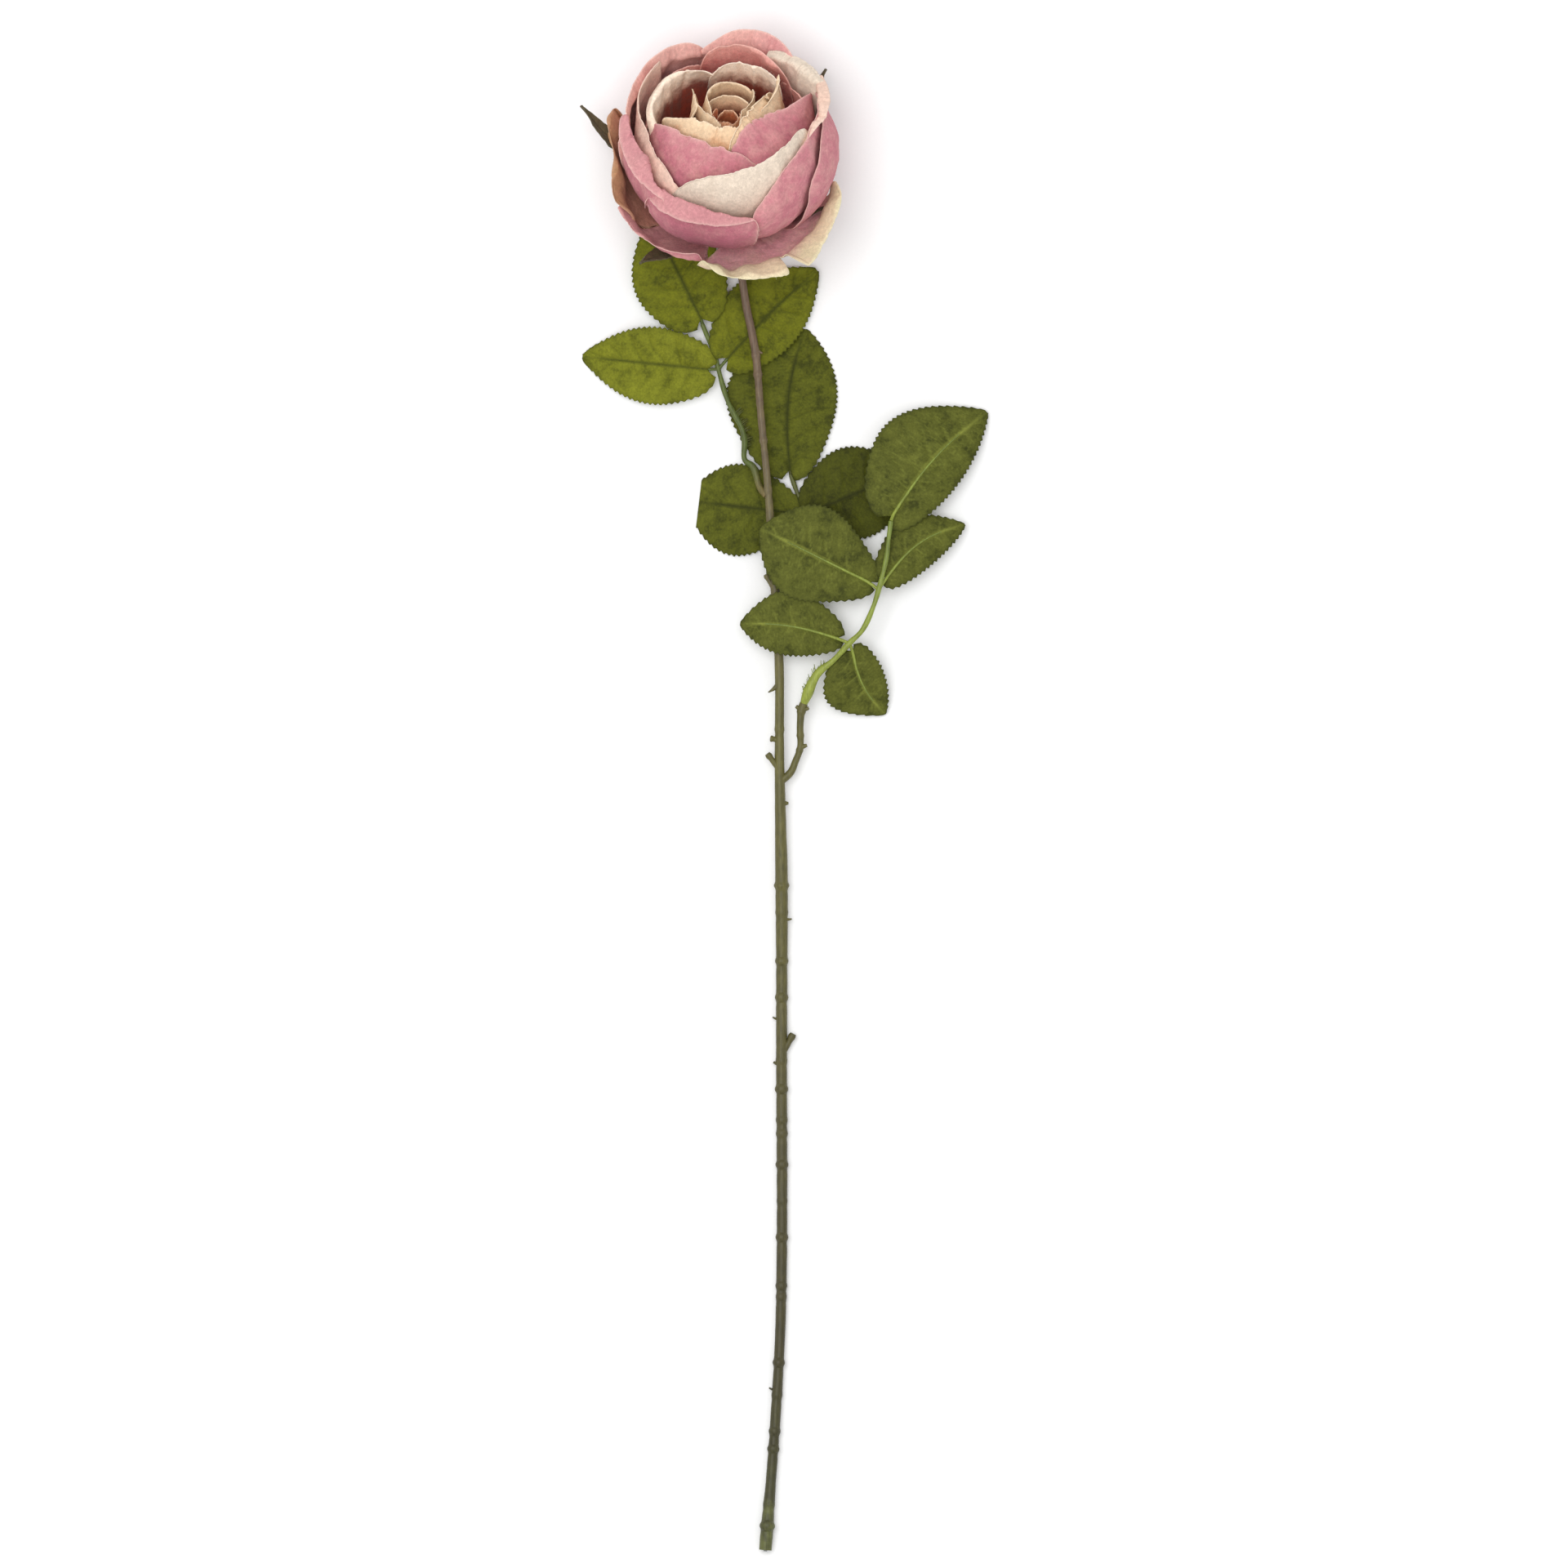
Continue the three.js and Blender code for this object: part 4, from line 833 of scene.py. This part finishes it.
def pathObject(name, runs):
    # runs are (points, girth, along) of one path each; all of them become one mesh of edges
    points, girths, places, edges, count = [], [], [], [], 0
    for line, girth, along in runs:
        girth = np.broadcast_to(girth, len(line))
        # it lies on the table, not in it
        line = np.column_stack([line[:, :2], np.maximum(line[:, 2], girth)])
        points.append(line)
        girths.append(girth)
        places.append(np.broadcast_to(along, len(line)))
        edges += [(count + i, count + i + 1) for i in range(len(line) - 1)]
        count += len(line)
    marks = dict(girth=np.concatenate(girths) * mm, along=np.concatenate(places))
    return makeObject(name, np.concatenate(points), [], marks, edges=edges)


keep = stemShare <= 1 - stem["recess"] / stem["length"]
mainLine, mainShare = stemLine[keep], stemShare[keep]
mainGirth = stemRadiusAt(mainShare)
for number, joint in enumerate(stem["joints"]):
    distance = (mainShare - joint) * stem["length"]
    strength = 0.16 + 0.1 * math.sin(number * 2.4)
    ring = strength * np.exp(-(distance / 1.1) ** 2)
    groove = 0.05 * np.exp(-((distance - 2.6) / 1.3) ** 2)
    mainGirth = mainGirth * (1 + ring - groove)
stemRuns = [(mainLine, mainGirth, mainShare)]
for share, away, root, tip in stem["shoots"]:
    start = stemPointAt(share)
    part = np.linspace(0, 1, 12)[:, None]
    swell = 1 + 0.35 * np.exp(-((part[:, 0] - 0.86) / 0.1) ** 2) * (tip > 0.9)
    hook = np.array([0, -0.8, 0]) * (part - part ** 2) * 2 * (tip < 0.6)
    stemRuns.append((start + part * np.array(away) + hook, (root + (tip - root) * part[:, 0]) * swell, share))
branchPoints = np.array([stemPointAt(stem["branchShare"]) + np.array(p) for p in stem["branch"]])
branchLine = smoothPath(branchPoints, 0.6)
branchPart = np.linspace(0, 1, len(branchLine))
branchGirth = stem["branchRadius"] * (1 - 0.25 * np.sin(math.pi * branchPart))
for place in stem["branchJoints"]:
    branchGirth = branchGirth * (1 + 0.2 * np.exp(-((branchPart - place) / 0.025) ** 2))
stemRuns.append((branchLine, branchGirth, stem["branchShare"]))
for at, away in stem["knobs"]:
    part = np.linspace(0, 1, 10)[:, None]
    knobGirth = stem["branchRadius"] * (0.7 - 0.3 * part[:, 0])
    stemRuns.append((branchPoints[at] + part * np.array(away), knobGirth, stem["branchShare"]))
stemPiece = grow(pathObject("stem_moulding", stemRuns), limbTree,
                 {"Sides": 24, "Grain": 0.35 * mm, "Grain Size": 420.0, "Material": stemPlastic})
settle(stemPiece, "stem")
print("stem made")

# leaves and their stalks
foliage = dict(thickness=0.45, columns=41, rowStep=0.42, toothPitch=2.3, toothDepth=1.1, veinPitch=9.5,
               veinDepth=0.4, veinWidth=0.5, midribWidth=0.75, netSize=2.4, netDepth=0.12, puff=0.55,
               fullLength=60, lean=0.42, underRib=0.35, ribRadius=0.55, stalkRadius=1.2)
fingers = {"Length": 4.6 * mm, "Slimness": 0.1, "Spread": 0.2, "Share": 0.9, "Bend": 0.25}
greens = {
    "olive": dict(upper="#5C6012", under="#5A6A24", light="#747818", vein="#3E430E", edge="#33370A"),
    "lime": dict(upper="#686C18", under="#66742A", light="#808422", vein="#4A4F12", edge="#42460E"),
    "moss": dict(upper="#4C5012", under="#4A5222", light="#62661A", vein="#33370B", edge="#2A2D08"),
    "dark": dict(upper="#40430E", under="#4A5222", light="#515512", vein="#2E310A", edge="#202306"),
    "grey": dict(upper="#4E5C1C", under="#484C18", light="#606426", vein="#808639", edge="#2B2F0D"),
}
leafCloths = {name: pressedLeaf("pressed_polyester_leaf_" + name, tones) for name, tones in greens.items()}
sprigs = [
    dict(name="right_sprig", root=branchPoints[-1] + (0.9, 2.4, 0.8), side=1, reachBack=(-0.8, -2.2, -0.7),
         sheath=0.75, comb=(0.02, 0.2),
         stalk=[(0, 0, 0), (4.9, 10.4, 2), (12.3, 16.8, 4), (19.2, 24.2, 5.6), (24.8, 29.8, 6),
                (29.6, 39.8, 6.4), (32.1, 47.8, 6.8), (35.6, 62.2, 7), (36.6, 71, 7), (37.5, 78, 7)],
         leaflets=[
             dict(node=9, base=(38, 79.9, 5), tip=(80, 126.4, -7), left=26, right=15.5, bow=3.4, rise=3,
                  drop=2, belly=0.42, green="grey"),
             dict(node=6, base=(35.5, 52.9, 5), tip=(70.3, 76.7, -4), left=13, right=11, bow=4.5, rise=2,
                  drop=1, belly=0.42, green="grey"),
             dict(node=6, base=(28, 50.9, 4.8), tip=(-20.1, 74.9, 5), left=21.4, right=21.5, bow=0, rise=1,
                  drop=1, belly=0.55, green="grey"),
             dict(node=3, base=(14, 26.2, 3.4), tip=(-29.1, 32.8, 3.4), left=13, right=16, bow=-2.3, rise=1,
                  drop=0.5, belly=0.5, green="grey"),
             dict(node=3, base=(20.5, 20.9, 3.4), tip=(35, -7.2, -7.2), left=10.8, right=17.5, bow=-2.8,
                  rise=2, drop=1, belly=0.42, green="grey")]),
    dict(name="left_sprig", root=stemPointAt(0.2134) + (-3.6, 1.5, -2), side=-1, reachBack=(3.0, -3.6, 1.7),
         sheath=0.2, comb=(0.3, 0.5),
         stalk=[(0, 0, 0), (-3.2, 9.3, -1.2), (-6.8, 12.4, -2), (-6.8, 20.3, -2.6), (-7.9, 25.7, -2.8),
                (-14.4, 38.6, -3), (-18.4, 52.3, -3), (-20.2, 58.8, -2.8), (-22.7, 65.3, -2.6),
                (-25.5, 72.3, -2.4)],
         leaflets=[
             dict(node=9, base=(-25.9, 74.3, -0.6), tip=(-48.2, 119.1, 0), left=21, right=20, bow=0, rise=1,
                  drop=1, belly=0.42, green="olive"),
             dict(node=6, base=(-23, 52.2, -1), tip=(-78.5, 57.9, -6.6), left=17.8, right=16.2, bow=0,
                  rise=2, drop=1, belly=0.42, green="lime"),
             dict(node=6, base=(-14.4, 56.9, -1), tip=(25.2, 96.1, -4), left=19.5, right=16.5, bow=1,
                  rise=0.4, drop=1, belly=0.42, green="olive")]),
    dict(name="low_sprig", root=stemPointAt(0.2905) + (2.8, 1, -3), side=-1, reachBack=(-1.2, -2, 0.8),
         sheath=0.2, comb=(0.02, 0.1),
         stalk=[(0, 0, 0), (4.6, 12.8, -2.4), (7.6, 25.5, -3.4), (8.7, 38.3, -3.6), (6.2, 45.8, -3.6),
                (4, 52, -3.6)],
         leaflets=[
             dict(node=5, base=(3.7, 54, -1.8), tip=(10.2, 116.6, -5), left=27.5, right=21.4, bow=4,
                  rise=0.5, drop=1.2, belly=0.5, green="moss"),
             dict(node=3, base=(12.2, 35.3, -1.8), tip=(56, 53.6, -5.3), left=21, right=20, bow=0, rise=0.4,
                  drop=1, belly=0.46, green="dark"),
             dict(node=3, base=(5.2, 35.2, -1.8), tip=(-36.6, 40.2, -5.3), left=21.7, right=18.7, bow=0,
                  rise=0.4, drop=1, belly=0.5, blunt=0.13, green="moss")]),
]


def leafSurface(leaf, root, across, along):
    start, tip = np.array(leaf["base"], float), np.array(leaf["tip"], float)
    way = tip - start
    way[2] = 0
    way /= np.linalg.norm(way)
    leftward = np.array([-way[1], way[0], 0])
    # full and round at the foot, where two lobes reach back past it, and drawn out at the tip
    shown = np.clip(along, 0, 1) * (1 - leaf.get("blunt", 0))
    fullness = np.sin(math.pi * shown ** (math.log(0.5) / math.log(leaf["belly"]))) ** (0.5 + 0.32 * shown)
    lobe = 0.07 * np.linalg.norm(tip - start) * np.abs(across) ** 1.3 * np.exp(-(along / 0.17) ** 2)
    halfWidth = np.where(across > 0, leaf["right"], leaf["left"]) * (0.04 + 0.96 * fullness)
    point = root + start + (tip - start) * along[..., None] - way * lobe[..., None]
    point = point + leftward * (leaf["bow"] * np.sin(math.pi * along) - across * halfWidth)[..., None]
    point[..., 2] += leaf["rise"] * np.sin(math.pi * along) - leaf["drop"] * across ** 2 * fullness
    return point, halfWidth, leftward


def makeLeaf(name, leaf, root, side, seed):
    length = math.dist(leaf["base"], leaf["tip"])
    columns = np.sin(np.linspace(-1, 1, foliage["columns"]) * math.pi / 2)
    across, along = np.meshgrid(columns, np.linspace(0.002, 0.998, int(length / foliage["rowStep"])))
    front, halfWidth, leftward = leafSurface(leaf, root, across, along)
    # pinked edge: teeth that lean towards the tip
    phase = (along * length / foliage["toothPitch"] + (across > 0) * 0.37) % 1
    tooth = 1 - np.abs(2 * phase ** 0.75 - 1)
    margin = np.abs(across) ** 14 * np.minimum(1, halfWidth / 5)
    front = front - leftward * (np.sign(across) * (tooth - 0.5) * foliage["toothDepth"] * margin)[..., None]
    # veins run from the middle rib forwards to the edge: they stand up where the upper face shows,
    # and sink in where the underside does
    count = round(length / foliage["veinPitch"])
    reach = np.abs(across)
    line = (along - foliage["lean"] * reach * (1 - 0.3 * reach) * np.mean(halfWidth) / length * 2.2) * count
    line = line + 0.35 * (across > 0) + 0.35 * ripple(front, 17.0, seed) + 0.1 * ripple(front, 6.0, seed + 2)
    gap = np.abs(line % 1 - 0.5) / count * length
    veinReach = 0.42 if side > 0 else 0.72
    veins = np.exp(-(gap / foliage["veinWidth"]) ** 2) * np.exp(-(reach / veinReach) ** 4)
    veins = veins * np.clip(along * 14, 0, 1)
    midrib = np.exp(-(reach * halfWidth / foliage["midribWidth"]) ** 2) * np.clip((1.02 - along) * 4, 0, 1)
    vein = np.clip(np.maximum(veins, midrib), 0, 1)
    small = np.abs(ripple(front, foliage["netSize"], seed + 9))
    net = np.exp(-(small / 0.07) ** 2) * 0.45 * (1 - reach ** 4)
    fromRib = np.clip(reach * halfWidth / 3, 0, 1)
    pad = np.sin(math.pi * ((line + 0.5) % 1)) ** 0.7 * (1 - reach ** 3) * fromRib
    pads = foliage["puff"] * pad * min(1, length / foliage["fullLength"])
    lift = side * (pads - foliage["veinDepth"] * vein - foliage["netDepth"] * net)
    lift = lift * (1 if side < 0 else 0.8)
    lift += 0.8 * ripple(front, 15.0, seed + 4) * reach ** 1.5 + 0.3 * ripple(front, 4.5, seed + 5)
    lift += 0.35 * (0.3 - np.abs(ripple(front, 6.5, seed + 6)))
    front[..., 2] += lift - (foliage["underRib"] if side > 0 else 0.0)
    edge = np.exp(-(1 - reach) * halfWidth / 0.7)
    underFront = np.full(front.shape[:2], 1.0 if side > 0 else 0.0)
    marks = dict(vein=np.maximum(midrib, np.maximum(veins * 0.5, net * 0.6)), edge=edge, under=underFront)
    place = np.stack([across * halfWidth, along * length], -1)
    made = thinShell(name + "_cloth", front, foliage["thickness"], marks, dict(under=1 - underFront),
                     front * 0, place)
    made.data.materials.append(leafCloths[leaf["green"]])
    settle(made, name)


for sprigNumber, sprig in enumerate(sprigs):
    stalk = smoothPath(np.array([sprig["reachBack"]] + sprig["stalk"], float) + sprig["root"], 0.7)
    part = np.linspace(0, 1, len(stalk))
    stalkGirth = foliage["stalkRadius"] * (1.15 - 0.35 * part) * (1 + 0.1 * np.sin(part * 40 + sprigNumber))
    stalkGirth = stalkGirth * (1 + sprig["sheath"] * np.exp(-((part - 0.09) / 0.08) ** 2))
    runs = [(stalk, stalkGirth, part)]
    for i, leaf in enumerate(sprig["leaflets"]):
        leafName = f"{sprig['name']}_leaf_{i + 1}"
        makeLeaf(leafName, leaf, sprig["root"], sprig["side"], 100 + sprigNumber * 10 + i)
        shares = np.array([0.02, 0.2, 0.4, 0.6, 0.75])
        ribPoints, _, _ = leafSurface(leaf, sprig["root"], shares * 0, shares)
        ribPoints[:, 2] += sprig["side"] * (foliage["thickness"] / 2 + foliage["ribRadius"] * 0.8)
        rib = smoothPath(np.vstack([np.array(sprig["stalk"][leaf["node"]]) + sprig["root"], ribPoints]), 0.7)
        ribPart = np.linspace(0, 1, len(rib))
        runs.append((rib, foliage["ribRadius"] * (1.35 - 1.0 * ribPart), 0.3 + 0.7 * ribPart))
    # the comb of small fingers at the foot of the stalk
    foot = stalk[(part > sprig["comb"][0]) & (part < sprig["comb"][1])]
    way = unit(np.gradient(foot, axis=0))
    comb = np.cross(np.array([0, 0, 1.0]), way) * (1 if sprig["side"] > 0 else -1) + way * 0.5
    combPoints = np.concatenate([foot, foot + (0, 0, 0.4)])
    combMesh = makeObject(sprig["name"] + "_comb", combPoints, [],
                          dict(fringe=np.ones(len(combPoints)), along=np.full(len(combPoints), 0.15)),
                          np.concatenate([comb, comb]))
    plastic = stalkPlastics[sprig["name"]]
    grow(combMesh, fringeTree, dict(fingers, Seed=5 + sprigNumber, Material=plastic))
    stalkPiece = grow(pathObject(sprig["name"] + "_moulding", runs), limbTree,
                      {"Sides": 14, "Grain": 0.2 * mm, "Grain Size": 500.0, "Material": plastic})
    stalkPiece = joinPieces(sprig["name"] + "_moulding", [stalkPiece, combMesh])
    settle(stalkPiece, sprig["name"] + "_stalk")
print("leaves and stalks made")

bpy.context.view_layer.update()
meshes = [p.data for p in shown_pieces() if p.type == "MESH"]
print("triangles:", sum(len(m.loops) - 2 * len(m.polygons) for m in meshes))
